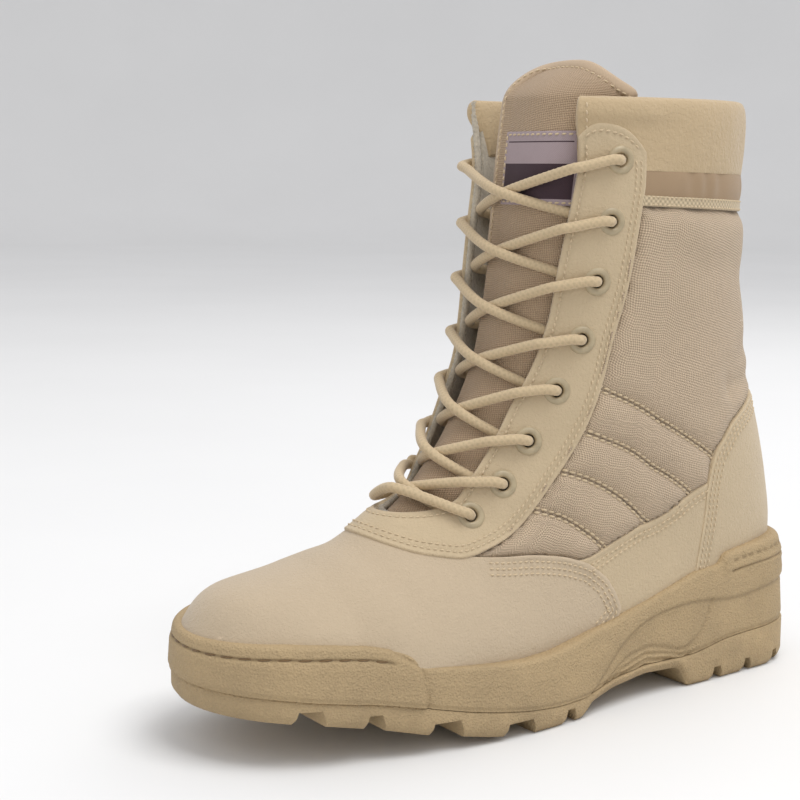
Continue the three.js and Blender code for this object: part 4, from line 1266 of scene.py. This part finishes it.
def make_eyelets(side, name):
    """Enamelled eyelets of one side: a rounded flange, a barrel and a clinched back."""
    a = np.linspace(0, 2 * np.pi, 40, endpoint=False)
    points, faces = [], []
    for k in range(len(EYELETS)):
        place, axis, v, _ = eyelet_place(k, side)
        section = eyelet_section(float(wall(v)) + 0.1)
        lift = 0.1 + 1.2 * float(below_throat(v))
        across = np.cross(axis, (0, 0, 1.0))
        across /= np.linalg.norm(across)
        ring = np.cos(a)[:, None] * across + np.sin(a)[:, None] * np.cross(axis, across)
        made = place + section[:, None, 1:] * axis + section[:, None, :1] * ring[None] + axis * lift
        base = k * len(section) * len(a)
        faces += [[base + corner for corner in face] for face in ring_faces(len(section), len(a), True)]
        points.append(made.reshape(-1, 3))
    piece = mesh_object(name, np.concatenate(points), faces, [finish("eyelet")], crisp=40)
    tag = "lat" if side > 0 else "med"
    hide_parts(*[f"eyelet_{tag}_{k + 1}" for k in range(len(EYELETS))])


def lace_route():
    """The whole lace as one curve, from the inner top eyelet down to the bar and up to the outer top one."""
    r = bpy.context.scene.boot_sizes.lace_radius / MM
    last = len(EYELETS) - 1
    edge_turn = lambda v, side: float(throat_turn(v, side))

    def into(k, side):
        """Over the flange and down through the hole, then inside towards the throat edge."""
        place, axis, v, _ = eyelet_place(k, side)
        toward = skin(v, edge_turn(v, side), 0) - place
        toward /= np.linalg.norm(toward)
        deep = float(wall(v))
        return [place + axis * (r + 1.7) + toward * 5.0, place + axis * (r + 0.9) + toward * 1.6,
                place + axis * -0.6 - toward * 0.3, place - axis * (deep + 1.2) + toward * 0.2,
                place - axis * (deep + 2.2) + toward * 4.5]

    def crossing(k, side):
        """From inside lower eyelet k + 1 on this side, over the tongue, onto upper eyelet k on the other."""
        v_low, v_up = EYELETS[k + 1][0], EYELETS[k][0]
        middle = lerp(v_low, v_up, 0.42)
        over = 2.1 if side > 0 else -1.6
        loose = 3.5 if k == 0 and side > 0 else 0.0
        edge_low, edge_up = edge_turn(v_low - 0.1, side), edge_turn(v_up, -side)
        behind = [skin(v_low - 0.04, edge_low + side * 0.12, -wall(v_low) - 1.8)] if k < last - 1 else []
        return behind + [
            skin(v_low - 0.12, edge_low - side * 0.03, -wall(v_low) - 0.9), skin(middle, 0.0, over),
            skin(lerp(middle, v_up, 0.66), edge_up * 0.86, 1.6),
            skin(v_up + 0.13, edge_up * 1.06, r + 0.9 + loose)]

    half = {}
    for start in (1, -1):        # from the bar into the lowest eyelet of this side, and up
        side, points = start, into(last, start)
        for k in range(last - 1, -1, -1):
            points += crossing(k, side)
            side = -side
            points += into(k, side)
        place, axis, v, _ = eyelet_place(0, side)
        for deep, drop in ((3.0, 9.0), (3.2, 20.0)):
            points.append(place - axis * (float(wall(v)) + deep) + np.array([0, 0, -drop]))
        half[start] = points
    v = EYELETS[last][0]
    bar = [skin(v - 0.08, edge_turn(v, 1) * 0.4, r + 3.0), skin(v + 0.03, 0.0, r + 3.2),
           skin(v + 0.38, edge_turn(v, -1) * 0.75, r + 2.4)]
    return half[1][::-1] + bar + half[-1]


def make_lace():
    """Round braided lace through all sixteen eyelets."""
    path = soften(even(smooth_path(lace_route(), 5200), 0.4), 10)

    def braid(along, around):
        one = np.cos(2 * np.pi * along / 2.3 + 4 * around)
        two = np.cos(2 * np.pi * along / 2.3 - 4 * around)
        return 0.07 * np.maximum(one, two)

    radius = bpy.context.scene.boot_sizes.lace_radius / MM
    piece = tube("lace", path, radius, 20, finish("lace"), braid, 0.5)
    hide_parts("lace_bar", *[f"lace_cross_{k}" for k in range(1, len(EYELETS))])


# ---------------------------------------------------------------- stitches
def row_beside(pairs, offset, toward):
    """Points and normals of a row at an offset from a (v, t) curve, on the side of the pair toward."""
    f = flow(pairs, 0.6)
    p, n = skin(f[:, 0], f[:, 1]), bare_normal(f[:, 0], f[:, 1])
    beside = unit(np.cross(n, along_curve(p)))
    aim = skin(toward[0], toward[1]) - p
    beside *= np.sign(np.sum(np.sum(beside * aim, axis=1)))
    return p + beside * offset, n


def row_at(v, t):
    """Points and normals of a row along sections v and turns t."""
    v, t = grids(v, t)
    return skin(v, t), bare_normal(v, t)


def sew(name, rows, over, key="thread", pitch=None, length=None, radius=None, sink=0.1):
    """All the stitches of some rows as one mesh, each a short arched thread laid on the pieces over."""
    sizes = bpy.context.scene.boot_sizes
    pitch = pitch or sizes.stitch_pitch / MM
    length = length or pitch * 0.78      # the rest is the gap between two stitches
    radius = radius or sizes.thread_radius / MM
    trees = surfaces_of(*over)
    sides, bands = 6, np.linspace(-1, 1, 6)
    a = np.linspace(0, 2 * np.pi, sides, endpoint=False)
    shape = np.sqrt(np.maximum(0.05, 1 - np.abs(bands) ** 3))
    rise = radius * (0.55 * (1 - bands ** 2) - 0.55) + radius * 0.45 - sink * np.abs(bands) ** 4
    points = []
    for p, n in rows:
        gone = lengths(p)
        count = int(gone[-1] / pitch)
        if count < 1:
            continue
        at = (np.arange(count) + 0.5) * gone[-1] / count
        up = unit(sample(at, gone, n))
        way = sample(at, gone, along_curve(p))
        centre = lay_on(sample(at, gone, p), up, trees)
        if count > 2:
            way = along_curve(centre)
        way = unit(way - up * np.sum(way * up, axis=1, keepdims=True))
        across = np.cross(up, way)
        way = way + 0.10 * across        # each stitch slants a little
        for k in range(count):
            spine = centre[k] + bands[:, None] * way[k] * length / 2 + rise[:, None] * up[k]
            ring = np.cos(a)[:, None] * across[k] + np.sin(a)[:, None] * up[k]
            points.append((spine[:, None] + ring[None] * (radius * shape)[:, None, None]).reshape(-1, 3))
    if not points:
        raise RuntimeError(name + ": no stitches")
    size = len(bands) * sides
    one = ring_faces(len(bands), sides) + [range(sides), range(size - sides, size)]
    faces = [[k * size + corner for corner in face] for k in range(len(points)) for face in one]
    every = np.concatenate(points)
    marks = {"seam": np.full(len(every), 0.75)}
    piece = mesh_object(name, every, faces, [finish(key)], crisp=80, marks=marks)


def trim(row, first, last):
    """A row without its first and last few millimetres."""
    p, n = row
    gone = lengths(p)
    stay = (gone >= first) & (gone <= gone[-1] - last)
    return p[stay], n[stay]


def stay_rows():
    """Rows of the eyelet panel: one along the throat, two along its rear edge, one across each top end."""
    rows = []
    front, rear, _ = stay_edges()
    for table, other, insets in ((front, rear, (2.9,)), (rear, front, (2.7, 2.7 + 2.4))):
        p = skin(table[:, 0], table[:, 1])
        gone = lengths(p)
        at = np.linspace(3.0, gone[-1] - 3.0, 900)
        n, q = bare_normal(table[:, 0], table[:, 1]), skin(other[:, 0], other[:, 1])
        p, n, q = (sample(at, gone, rows_of) for rows_of in (p, n, q))
        beside = unit(np.cross(n, along_curve(p)))
        beside *= np.sign(np.sum(beside * (q - p), axis=1))[:, None]
        rows += [(p + beside * inset, n) for inset in insets]
    for side in (1, -1):
        u = np.linspace(0.1, 0.9, 60)
        v = lerp(STAY_FRONT[0], STAY_REAR[0][0], u) - stay_arch(u) + 0.14
        first, last = float(throat_turn(STAY_FRONT[0], side)), side * STAY_REAR[0][1]
        rows.append(row_at(v, first + (last - first) * u))
    return rows


def make_stitches():
    """Every sewn row of the upper, grouped by the seam it belongs to."""
    sew("stitches_stays", stay_rows(), ["eyelet_panel"])
    wing = [trim(row_beside(edge, inset, (12.0, np.sign(edge[0, 1]) * 1.2)), 6, 0)
            for edge in both(WING[3:14]) for inset in WING_ROWS]
    sew("stitches_wings", wing, ["vamp"])
    strap = [trim(row_beside(edge, inset, (10.0, np.sign(edge[0, 1]) * 1.7)), 9, 2)
             for edge in both(STRAP[1:7]) for inset in STRAP_ROWS]
    sew("stitches_straps", strap, ["quarter_strap_outer", "quarter_strap_inner", "vamp"])
    counter = [trim(row_beside(edge, inset, (8.0, np.sign(edge[0, 1]) * 2.6)), 3 + inset, 2)
               for edge in both(COUNTER[1:]) for inset in COUNTER_ROWS]
    sew("stitches_counter", counter, ["heel_counter"])
    quilt = [row_beside(line, inset, (12.0, line[1, 1]))
             for curve in QUILTS for line in both(curve) for inset in (-0.9, 0.9)]
    thick = bpy.context.scene.boot_sizes.thread_radius / MM * 1.35
    sew("stitches_quilt", quilt, ["shaft"], pitch=3.1, length=3.0, radius=thick, sink=0.25)
    sew("stitches_tongue", tongue_rows(), ["tongue_pad", "tongue_label", "tongue_binding"])
    collar = []
    for side in (1, -1):
        v = np.linspace(0.1, 0.62, 40)
        collar.append(row_at(v, throat_turn(v, side) + side * 0.085))
    sew("stitches_collar", collar, ["collar_band", "eyelet_panel"])
    band = [row_at(v, np.linspace(1.4, 2 * np.pi - 1.4, 300)) for v in (1.70, 1.83)]
    sew("stitches_webbing", band, ["webbing_band"], pitch=1.9, length=1.4, radius=0.26)


def tongue_rows():
    """A row inside the binding and one inside each edge of the label."""
    edge, facing, inward = tongue_border()
    low, high = LABEL_ACROSS
    ways = [(np.linspace(0.66, 1.88, 60), across) for across in (low + 0.05, high - 0.03)]
    ways += [(v, np.linspace(low + 0.06, high - 0.04, 60)) for v in (0.66, 1.87)]
    rows = [(edge + inward * 4.6, facing)]
    for v, across in ways:
        v, across = grids(v, across)
        rows.append((tongue_point(v, across, 0.5), bare_normal(v, TONGUE_TURN + across)))
    return rows


# ---------------------------------------------------------------- sole
# Lines of the side wall in the side view: along the boot, height.
GROOVE_HIGH = ((-149, 38.5), (-135, 37.5), (-117, 36.0), (-99, 34.5), (-71, 36.5), (-48, 34.0), (-31, 27),
               (-18, 16), (-6, 5))
GROOVE_LOW = ((-83, 36), (-80, 28), (-75, 21.5), (-66, 17.5), (-55, 20), (-44, 21.6), (-29, 18), (-15, 7))
BUMPER_REAR = ((86.5, 43.5), (84, 40.5), (76, 35.5), (73.2, 32), (72.4, 26), (72, 16))
RIM_GROOVE = 4.7                 # how far the bumper's sewn groove lies below its top edge


def sole_outline(x, side):
    """Plan of the sole on one side at stations x along the boot."""
    y = sole_column(x, "lat" if side > 0 else "med", 5.0)
    heel = np.maximum(0, (HEEL_END + HEEL_ARC - x) / HEEL_ARC)
    toe = np.maximum(0, (x - TOE_END + TOE_ARC) / TOE_ARC)
    y = y * np.sqrt(np.maximum(0, 1 - heel ** 2.3)) * np.sqrt(np.maximum(0, 1 - toe ** 2.1))
    return side * y + TOE_DRIFT * toe * toe


def sole_stations():
    """Stations along the sole, close together round the heel and the toe."""
    heel = HEEL_END + HEEL_ARC + HEEL_ARC * np.sin(np.linspace(-np.pi / 2, 0, 46))
    toe = TOE_END - TOE_ARC + TOE_ARC * np.sin(np.linspace(0, np.pi / 2, 58))
    middle = np.linspace(heel[-1], toe[0], 146)[1:-1]
    return np.concatenate([heel, middle, toe])


def sole_loop():
    """Plan of the sole: points, inward directions, and the side of each."""
    x = sole_stations()
    lateral = np.stack([x, sole_outline(x, 1)], -1)
    medial = np.stack([x, sole_outline(x, -1)], -1)[1:-1][::-1]
    loop = np.concatenate([lateral, medial])
    ahead = np.roll(loop, -1, 0) - np.roll(loop, 1, 0)
    ahead /= np.linalg.norm(ahead, axis=1, keepdims=True)
    return loop, np.stack([ahead[:, 1], -ahead[:, 0]], -1)


def line_gap(x, z, line):
    """Distance in the side view from (x, z) to a line of points."""
    dense = even(smooth_path(line, 300), 0.6)
    gap = np.full(x.shape, 1e3)
    for px, pz in dense:
        gap = np.minimum(gap, np.hypot(x - px, z - pz))
    return gap


def wall_relief(x, z):
    """Outward relief of the side wall, and the painted shade in each groove."""
    top, part = sole_column(x, "top", 1.0), sole_column(x, "part", 2.0)
    high, low, rear = (line_gap(x, z, line) for line in (GROOVE_HIGH, GROOVE_LOW, BUMPER_REAR))
    high_z, low_z = (np.interp(x, *np.transpose(line)) for line in (GROOVE_HIGH, GROOVE_LOW))
    behind = ease((-6 - x) / 12)
    # the upper groove, the step and the swell beside it, then the lower groove
    out = -0.9 * bell(high, 0.9) - 0.8 * behind * ease((high_z - z) / 1.4)
    out += 0.7 * behind * bell(z - (high_z + top) / 2, 6)
    out -= 0.7 * bell(low, 0.9)
    # ribs inside the arch
    inside_arch = ease((x + 78) / 8) * ease((-17 - x) / 8) * ease((low_z - z) / 1.2)
    out -= inside_arch * (0.5 + 0.4 * np.cos(2 * np.pi * (low_z - z) / 2.6))
    # the toe bumper with its sewn groove
    bumper_x = np.interp(z, *np.transpose(BUMPER_REAR[::-1])[::-1])
    out += 0.7 * ease((x - bumper_x) / 1.6) - 0.7 * bell(rear, 0.8)
    rim = np.abs(z - (top - RIM_GROOVE))
    on_bumper = ease((x - 84) / 2)
    out -= 0.8 * on_bumper * bell(rim, 0.6)
    # the heel cup with a dashed and a plain line, and the parting line all round
    out += 0.9 * ease((-90 - x) / 1.4) * ease((z - 45) / 4)
    dashes = 0.6 + 0.4 * np.sign(np.sin(x * 1.2 + 0.4))
    first, second = np.abs(z - (top - 4.2)), np.abs(z - (top - 8.4))
    cup_line = ease((-95 - x) / 1.0)
    out -= cup_line * (0.9 * dashes * bell(first, 0.55) + 0.9 * bell(second, 0.6))
    out -= 0.35 * bell(z - part - 1.2, 0.8)
    # painted shade in the grooves, the bumper's sewn groove and the heel-cup lines
    dark = 0.55 * bell(high, 0.7) + 0.4 * bell(low, 0.7) + 0.4 * bell(rear, 0.6)
    dark += 0.7 * on_bumper * bell(rim, 0.5)
    dark += cup_line * (dashes * bell(first, 0.5) + 0.8 * bell(second, 0.5))
    return out, np.clip(dark, 0, 1)


def strips(n, base, flip):
    """Faces across a closed loop of the sole, between its outer and inner sides."""
    last = n // 2
    faces = []
    for i in range(last):
        a, b, c, d = i, i + 1, (n - i - 1) % n, (n - i) % n
        face = [a, b, c] if i == 0 else ([a, b, d] if i == last - 1 else [a, b, c, d])
        faces.append([base + k for k in (face[::-1] if flip else face)])
    return faces


def closed_rings(rings):
    """Points and faces of the body through rings of the sole, closed below and above."""
    n, count = len(rings[0]), len(rings)
    faces = ring_faces(count, n) + strips(n, 0, True) + strips(n, (count - 1) * n, False)
    return np.concatenate(rings), faces


def form_tree():
    """Search tree of the last's lower part."""
    v, t = np.meshgrid(np.linspace(4.5, 18.98, 150), np.linspace(0, 2 * np.pi, 181), indexing="ij")
    p = bare_form(v, t)
    cols = p.shape[1]
    faces = [(j * cols + i, j * cols + i + 1, (j + 1) * cols + i + 1, (j + 1) * cols + i)
             for j in range(p.shape[0] - 1) for i in range(cols - 1)]
    return BVHTree.FromPolygons(p.reshape(-1, 3).tolist(), faces)


def make_sidewall():
    """Moulded side wall: toe bumper, swept grooves, arch ribs, heel cup and the bed for the foot."""
    loop, inward = sole_loop()
    n = len(loop)
    x = loop[:, 0]
    part, top, bed = (sole_column(x, c, b) for c, b in (("part", 2.0), ("top", 1.0), ("bed", 3.0)))
    lean = sole_column(x, "lean", 3.0)
    q = np.concatenate([np.linspace(0, 0.9, 52), [0.925, 0.945, 0.96, 0.973, 0.984, 0.992, 0.997, 1.0]])
    rings, marks = [], []
    for share in q:
        z = part + 0.3 + (top - part - 0.3) * share
        inset = 0.6 * np.clip(1 - (z - part) / 2, 0, 1) + lean * np.interp(share, [0, 0.6, 1], [0, 0.3, 1])
        below = top - z
        inset += 1.7 * (1 - np.sqrt(1 - np.clip(1 - below / 2.0, 0, 1) ** 2))     # rounded top edge
        out, dark = wall_relief(x, z)
        flat = loop + inward * (inset - out)[:, None]
        rings.append(np.column_stack([flat, z]))
        marks.append(dark)
    tree = form_tree()
    outside, thinnest = 6, 1.9
    for drop, press in ((0.0, 0.0), (0.6, 0.9), (5.0, 1.2)):     # below the top edge, into the upper
        z = top - drop
        flat = np.empty((n, 2))
        for i in range(n):       # inwards to the last, from a little outside the wall
            start = Vector((*(loop[i] - inward[i] * outside), z[i]))
            hit, _, _, gap = tree.ray_cast(start, Vector((*inward[i], 0)), 60)
            reach = (gap - outside if hit is not None else 5.0) + press
            flat[i] = loop[i] + inward[i] * max(reach, thinnest + lean[i])
        rings.append(np.column_stack([flat, z]))
        marks.append(np.zeros(n))
    inner = rings[-1].copy()
    inner[:, 2] = bed - 0.2
    rings.append(inner)
    marks.append(np.zeros(n))
    # painted shade of the grooves; zero on the top edge and the bed
    dark = {"seam": np.concatenate(marks)}
    piece = mesh_object("sidewall", *closed_rings(rings), [finish("sidewall")], crisp=45, marks=dark)
    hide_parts("midsole")


def make_bumper_stitches():
    """Thread in the groove along the top of the toe bumper."""
    loop, inward = sole_loop()
    x = loop[:, 0]
    z = sole_column(x, "top", 1.0) - RIM_GROOVE
    lean = sole_column(x, "lean", 3.0)
    p = np.column_stack([loop + inward * (lean * 0.65 + 0.1)[:, None], z])
    n = np.column_stack([-inward, np.zeros(len(x))])
    row = even(np.hstack([p, n])[x > 86], 0.8)
    sew("stitches_bumper", [(row[:, :3], row[:, 3:])], ["sidewall"], key="dark_thread", pitch=7.4, length=6.2,
        radius=0.42, sink=0.2)


def channel_cutters():
    """One object with a tapered bar for each channel of the tread."""
    corners, quads = [], []
    sides = [(3, 2, 1, 0), (4, 5, 6, 7)] + [(k, (k + 1) % 4, 4 + (k + 1) % 4, 4 + k) for k in range(4)]
    for at, width in CHANNELS:
        floor = float(sole_column(np.array([at]), "bottom", 0.8)[0])
        half = width / 2
        section = [(at - half - 2, floor - 8), (at + half + 2, floor - 8), (at + half - 2.5, floor + 6),
                   (at - half + 2.5, floor + 6)]
        quads += [[len(corners) + k for k in side] for side in sides]
        corners += [(px, y, pz) for y in (-80, 80) for px, pz in section]
    mesh = bpy.data.meshes.new("tread_channels")
    mesh.from_pydata(to_scene(corners).tolist(), [], quads)
    work = bmesh.new()
    work.from_mesh(mesh)
    bmesh.ops.recalc_face_normals(work, faces=work.faces)
    work.to_mesh(mesh)
    work.free()
    cutter = bpy.data.objects.new("tread_channels", mesh)
    bpy.context.scene.collection.objects.link(cutter)
    return cutter


def make_tread():
    """Lugged tread: the walled body of the sole with channels cut across it."""
    loop, inward = sole_loop()
    x = loop[:, 0]
    bottom, part = sole_column(x, "bottom", 0.8), sole_column(x, "part", 2.0)
    # distance in from the outline, height
    levels = [(3.2, bottom), (2.4, bottom + 0.25), (0.9, bottom + 2.3), (0.6, bottom + 3.2),
              (0.6, part - 0.6), (1.0, part)]
    points, faces = closed_rings([np.column_stack([loop + inward * inset, z]) for inset, z in levels])
    marks = {"seam": np.zeros(len(points))}
    piece = mesh_object("lugged_tread", points, faces, [finish("tread")], crisp=30, marks=marks)
    cutter = channel_cutters()
    cut = piece.modifiers.new("channels", "BOOLEAN")
    cut.operation, cut.object, cut.solver = "DIFFERENCE", cutter, "EXACT"
    soft = piece.modifiers.new("worn corners", "BEVEL")
    soft.width, soft.segments, soft.limit_method, soft.angle_limit = 0.0007, 2, "ANGLE", math.radians(38)
    soft.use_clamp_overlap = True
    settle(piece)
    bpy.data.objects.remove(cutter)
    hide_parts("outsole")


def settle(obj):
    """Applies the modifiers of obj to its mesh."""
    made = bpy.data.meshes.new_from_object(obj.evaluated_get(bpy.context.evaluated_depsgraph_get()))
    obj.modifiers.clear()
    obj.data = made
    made.set_sharp_from_angle(angle=math.radians(40))


def dress_insole():
    """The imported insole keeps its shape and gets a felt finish."""
    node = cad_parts["insole"]
    for place in node.material_slots:
        place.material = finish("insole")
    if not node.material_slots:
        raise RuntimeError("the insole has no material slot")


# ---------------------------------------------------------------- stage
LIGHTS = (       # name, place, size, power
    ("key_light", (-0.25, 0.75, 2.0), 1.2, 26.0),
    ("fill_light", (1.5, 0.6, 1.2), 1.4, 1.5),
    ("rim_light", (-1.3, -0.6, 1.3), 1.0, 4.0),
)


FLOOR_TONES = (0.765, 0.765, 0.76), (0.785, 0.785, 0.78)
CAMERA_PLACE = (411.37, 541.89, 217.45)
CAMERA_RIGHT, CAMERA_UP = (-0.83420, 0.55142, 0.00647), (-0.07053, -0.11832, 0.99047)
CAMERA_BACK = (0.54693, 0.82579, 0.13759)


def make_floor():
    """Round pale floor that curves up to a backdrop far behind."""
    flat, curve = 4.0, 1.1
    bend = np.linspace(0, np.pi / 2, 24)
    profile = [(1.0, 0.0), (2.0, 0.0)]
    profile += [(flat + curve * math.sin(b), curve * (1 - math.cos(b))) for b in bend]
    turns = np.linspace(0, 2 * np.pi, 97)[:-1]
    verts = [(r * math.cos(a), r * math.sin(a), z) for r, z in profile for a in turns] + [(0, 0, 0)]
    m, centre = len(turns), len(profile) * len(turns)
    faces = ring_faces(len(profile), m) + [(i, centre, (i + 1) % m) for i in range(m)]
    mesh = bpy.data.meshes.new("floor")
    mesh.from_pydata(verts, [], faces)
    mesh.polygons.foreach_set("use_smooth", np.ones(len(mesh.polygons), bool))
    floor = bpy.data.objects.new("floor", mesh)
    bpy.context.scene.collection.objects.link(floor)
    material, tree, shader, place = finish_base("Pale Floor", 0.9, 0.2)
    cloud = ramp(tree, noise(tree, place, 3.0, 4.0), 0.3, 0.7)
    tone = blend(tree, cloud, *FLOOR_TONES)
    tree.links.new(tone, shader.inputs["Base Color"])
    mesh.materials.append(material)


def make_stage():
    """Pale floor, soft studio light and the camera."""
    make_floor()
    scene = bpy.context.scene
    world = bpy.data.worlds.new("Studio")
    world.use_nodes = True
    background = world.node_tree.nodes["Background"].inputs
    background["Color"].default_value = (0.90, 0.90, 0.92, 1.0)
    background["Strength"].default_value = 0.86
    scene.world = world
    scene.view_settings.view_transform = "Standard"
    target = Vector((0.0, 0.0, 0.1))
    for name, spot, size, power in LIGHTS:
        data = bpy.data.lights.new(name, "AREA")
        data.energy, data.size = power, size
        light = bpy.data.objects.new(name, data)
        light.location = spot
        light.rotation_euler = (target - Vector(spot)).to_track_quat("-Z", "Y").to_euler()
        scene.collection.objects.link(light)
    lens = bpy.data.cameras.new("camera")
    lens.lens, lens.sensor_width, lens.clip_start, lens.clip_end = 75.06, 36.0, 0.01, 200.0
    camera = bpy.data.objects.new("camera", lens)
    turn = Matrix((CAMERA_RIGHT, CAMERA_UP, CAMERA_BACK)).transposed().to_4x4()
    camera.matrix_world = Matrix.Translation(Vector(to_scene(CAMERA_PLACE))) @ turn
    scene.collection.objects.link(camera)
    scene.camera = camera


# ---------------------------------------------------------------- add-on
def tint(red, green, blue):
    """Screen colour 11 to 255 as scene linear."""
    return tuple(((c / 255 + 0.055) / 1.055) ** 2.4 for c in (red, green, blue))


def colour_of(label, what, rgb):
    return FloatVectorProperty(name=label, description=what, subtype="COLOR", size=3, min=0, max=1,
                               default=tint(*rgb))


def length_of(label, what, value):
    return FloatProperty(name=label, description=what, default=value, unit="LENGTH", precision=5)


class BootColours(bpy.types.PropertyGroup):
    """Colours of the boot's finishes."""
    vamp: colour_of("Vamp", "Suede over the toes", (198, 179, 152))
    panel: colour_of("Panels", "Suede of the stays, straps and counter", (201, 181, 149))
    collar: colour_of("Collar", "Brushed suede of the padded collar", (194, 171, 136))
    cut_edge: colour_of("Cut edge", "Raw edge of the suede", (207, 189, 157))
    nylon: colour_of("Nylon", "Woven shaft", (192, 171, 145))
    tongue: colour_of("Tongue", "Woven tongue", (172, 148, 121))
    strip: colour_of("Strip", "Smooth strip under the collar", (156, 132, 104))
    webbing: colour_of("Webbing", "Tape under the strip", (190, 172, 142))
    binding: colour_of("Binding", "Edge of the tongue", (182, 160, 134))
    lining: colour_of("Lining", "Inside of the shaft", (190, 180, 162))
    insole: colour_of("Insole", "Felt top of the insole", (126, 110, 88))
    rubber: colour_of("Rubber", "Side wall and tread", (174, 151, 115))
    lace: colour_of("Lace", "Braided lace", (194, 173, 139))
    thread: colour_of("Thread", "Sewing thread of the upper", (200, 180, 148))
    dark_thread: colour_of("Bumper thread", "Thread in the bumper groove", (120, 96, 66))
    eyelet: colour_of("Eyelet", "Enamelled eyelets", (164, 149, 120))
    label: colour_of("Label", "Field of the label", (160, 144, 146))
    label_block: colour_of("Label block", "Dark block of the label", (62, 46, 52))


class BootSizes(bpy.types.PropertyGroup):
    """Sizes of the boot's dressing."""
    suede: length_of("Suede", "Thickness of the suede panels", 0.0014)
    quilt_puff: length_of("Quilting", "Rise of the padded nylon", 0.0036)
    lace_radius: length_of("Lace radius", "Half the lace's diameter", 0.00205)
    thread_radius: length_of("Thread radius", "Half the thread's diameter", 0.0004)
    stitch_pitch: length_of("Stitch pitch", "Distance between stitches", 0.0026)


class BOOT_OT_shaft(bpy.types.Operator):
    """Nylon shaft with its lining"""
    bl_idname, bl_label = "boot.shaft", "Shaft"

    def execute(self, context):
        make_shaft()
        return {"FINISHED"}


class BOOT_OT_suede(bpy.types.Operator):
    """Suede panels: vamp, straps, heel counter and eyelet panel"""
    bl_idname, bl_label = "boot.suede", "Suede panels"

    def execute(self, context):
        make_vamp()
        make_quarter_strap("quarter_strap_outer", 1)
        make_quarter_strap("quarter_strap_inner", -1)
        make_counter()
        make_eyelet_panel()
        make_throat_edge()
        return {"FINISHED"}


class BOOT_OT_collar(bpy.types.Operator):
    """Padded collar with the strip, the tape and the back strip under it"""
    bl_idname, bl_label = "boot.collar", "Collar"

    def execute(self, context):
        make_collar()
        make_band("smooth_strip", (1.2, 1.76), -0.35, 0.5, "strip", bulge=0.6, wrinkle=0.4)
        make_band("webbing_band", (1.68, 1.86), 0.1, 0.7, "webbing")
        make_back_strip()
        return {"FINISHED"}


class BOOT_OT_tongue(bpy.types.Operator):
    """Tongue with its binding and label"""
    bl_idname, bl_label = "boot.tongue", "Tongue"

    def execute(self, context):
        make_tongue()
        make_binding()
        make_label()
        return {"FINISHED"}


class BOOT_OT_eyelets(bpy.types.Operator):
    """Sixteen enamelled eyelets"""
    bl_idname, bl_label = "boot.eyelets", "Eyelets"

    def execute(self, context):
        make_eyelets(1, "eyelets_outer")
        make_eyelets(-1, "eyelets_inner")
        return {"FINISHED"}


class BOOT_OT_lace(bpy.types.Operator):
    """Braided lace"""
    bl_idname, bl_label = "boot.lace", "Lace"

    def execute(self, context):
        make_lace()
        return {"FINISHED"}


class BOOT_OT_sole(bpy.types.Operator):
    """Moulded side wall, lugged tread and insole finish"""
    bl_idname, bl_label = "boot.sole", "Sole"

    def execute(self, context):
        make_sidewall()
        make_tread()
        dress_insole()
        return {"FINISHED"}


class BOOT_OT_stitches(bpy.types.Operator):
    """Sewn rows of the upper and the bumper"""
    bl_idname, bl_label = "boot.stitches", "Stitches"

    def execute(self, context):
        make_stitches()
        make_bumper_stitches()
        return {"FINISHED"}


class BOOT_OT_stage(bpy.types.Operator):
    """Floor, light and camera"""
    bl_idname, bl_label = "boot.stage", "Stage"

    def execute(self, context):
        make_stage()
        return {"FINISHED"}


STEPS = (BOOT_OT_stage, BOOT_OT_shaft, BOOT_OT_suede, BOOT_OT_collar, BOOT_OT_tongue, BOOT_OT_eyelets,
         BOOT_OT_lace, BOOT_OT_sole, BOOT_OT_stitches)


class BOOT_PT_panel(bpy.types.Panel):
    """Boot pieces in the sidebar"""
    bl_label, bl_idname = "Combat Boot", "BOOT_PT_panel"
    bl_space_type, bl_region_type, bl_category = "VIEW_3D", "UI", "Boot"

    def draw(self, context):
        for step in STEPS:
            self.layout.operator(step.bl_idname)
        for group in (context.scene.boot_sizes, context.scene.boot_colours):
            box = self.layout.box()
            for key in group.__annotations__:
                box.prop(group, key)


CLASSES = (BootColours, BootSizes, *STEPS, BOOT_PT_panel)


def register():
    for cls in CLASSES:
        bpy.utils.register_class(cls)
    bpy.types.Scene.boot_colours = PointerProperty(type=BootColours)
    bpy.types.Scene.boot_sizes = PointerProperty(type=BootSizes)


def unregister():
    del bpy.types.Scene.boot_sizes
    del bpy.types.Scene.boot_colours
    for cls in reversed(CLASSES):
        bpy.utils.unregister_class(cls)


def main():
    register()
    for step in STEPS:
        family, name = step.bl_idname.split(".")
        getattr(getattr(bpy.ops, family), name)()


if __name__ == "__main__":
    main()
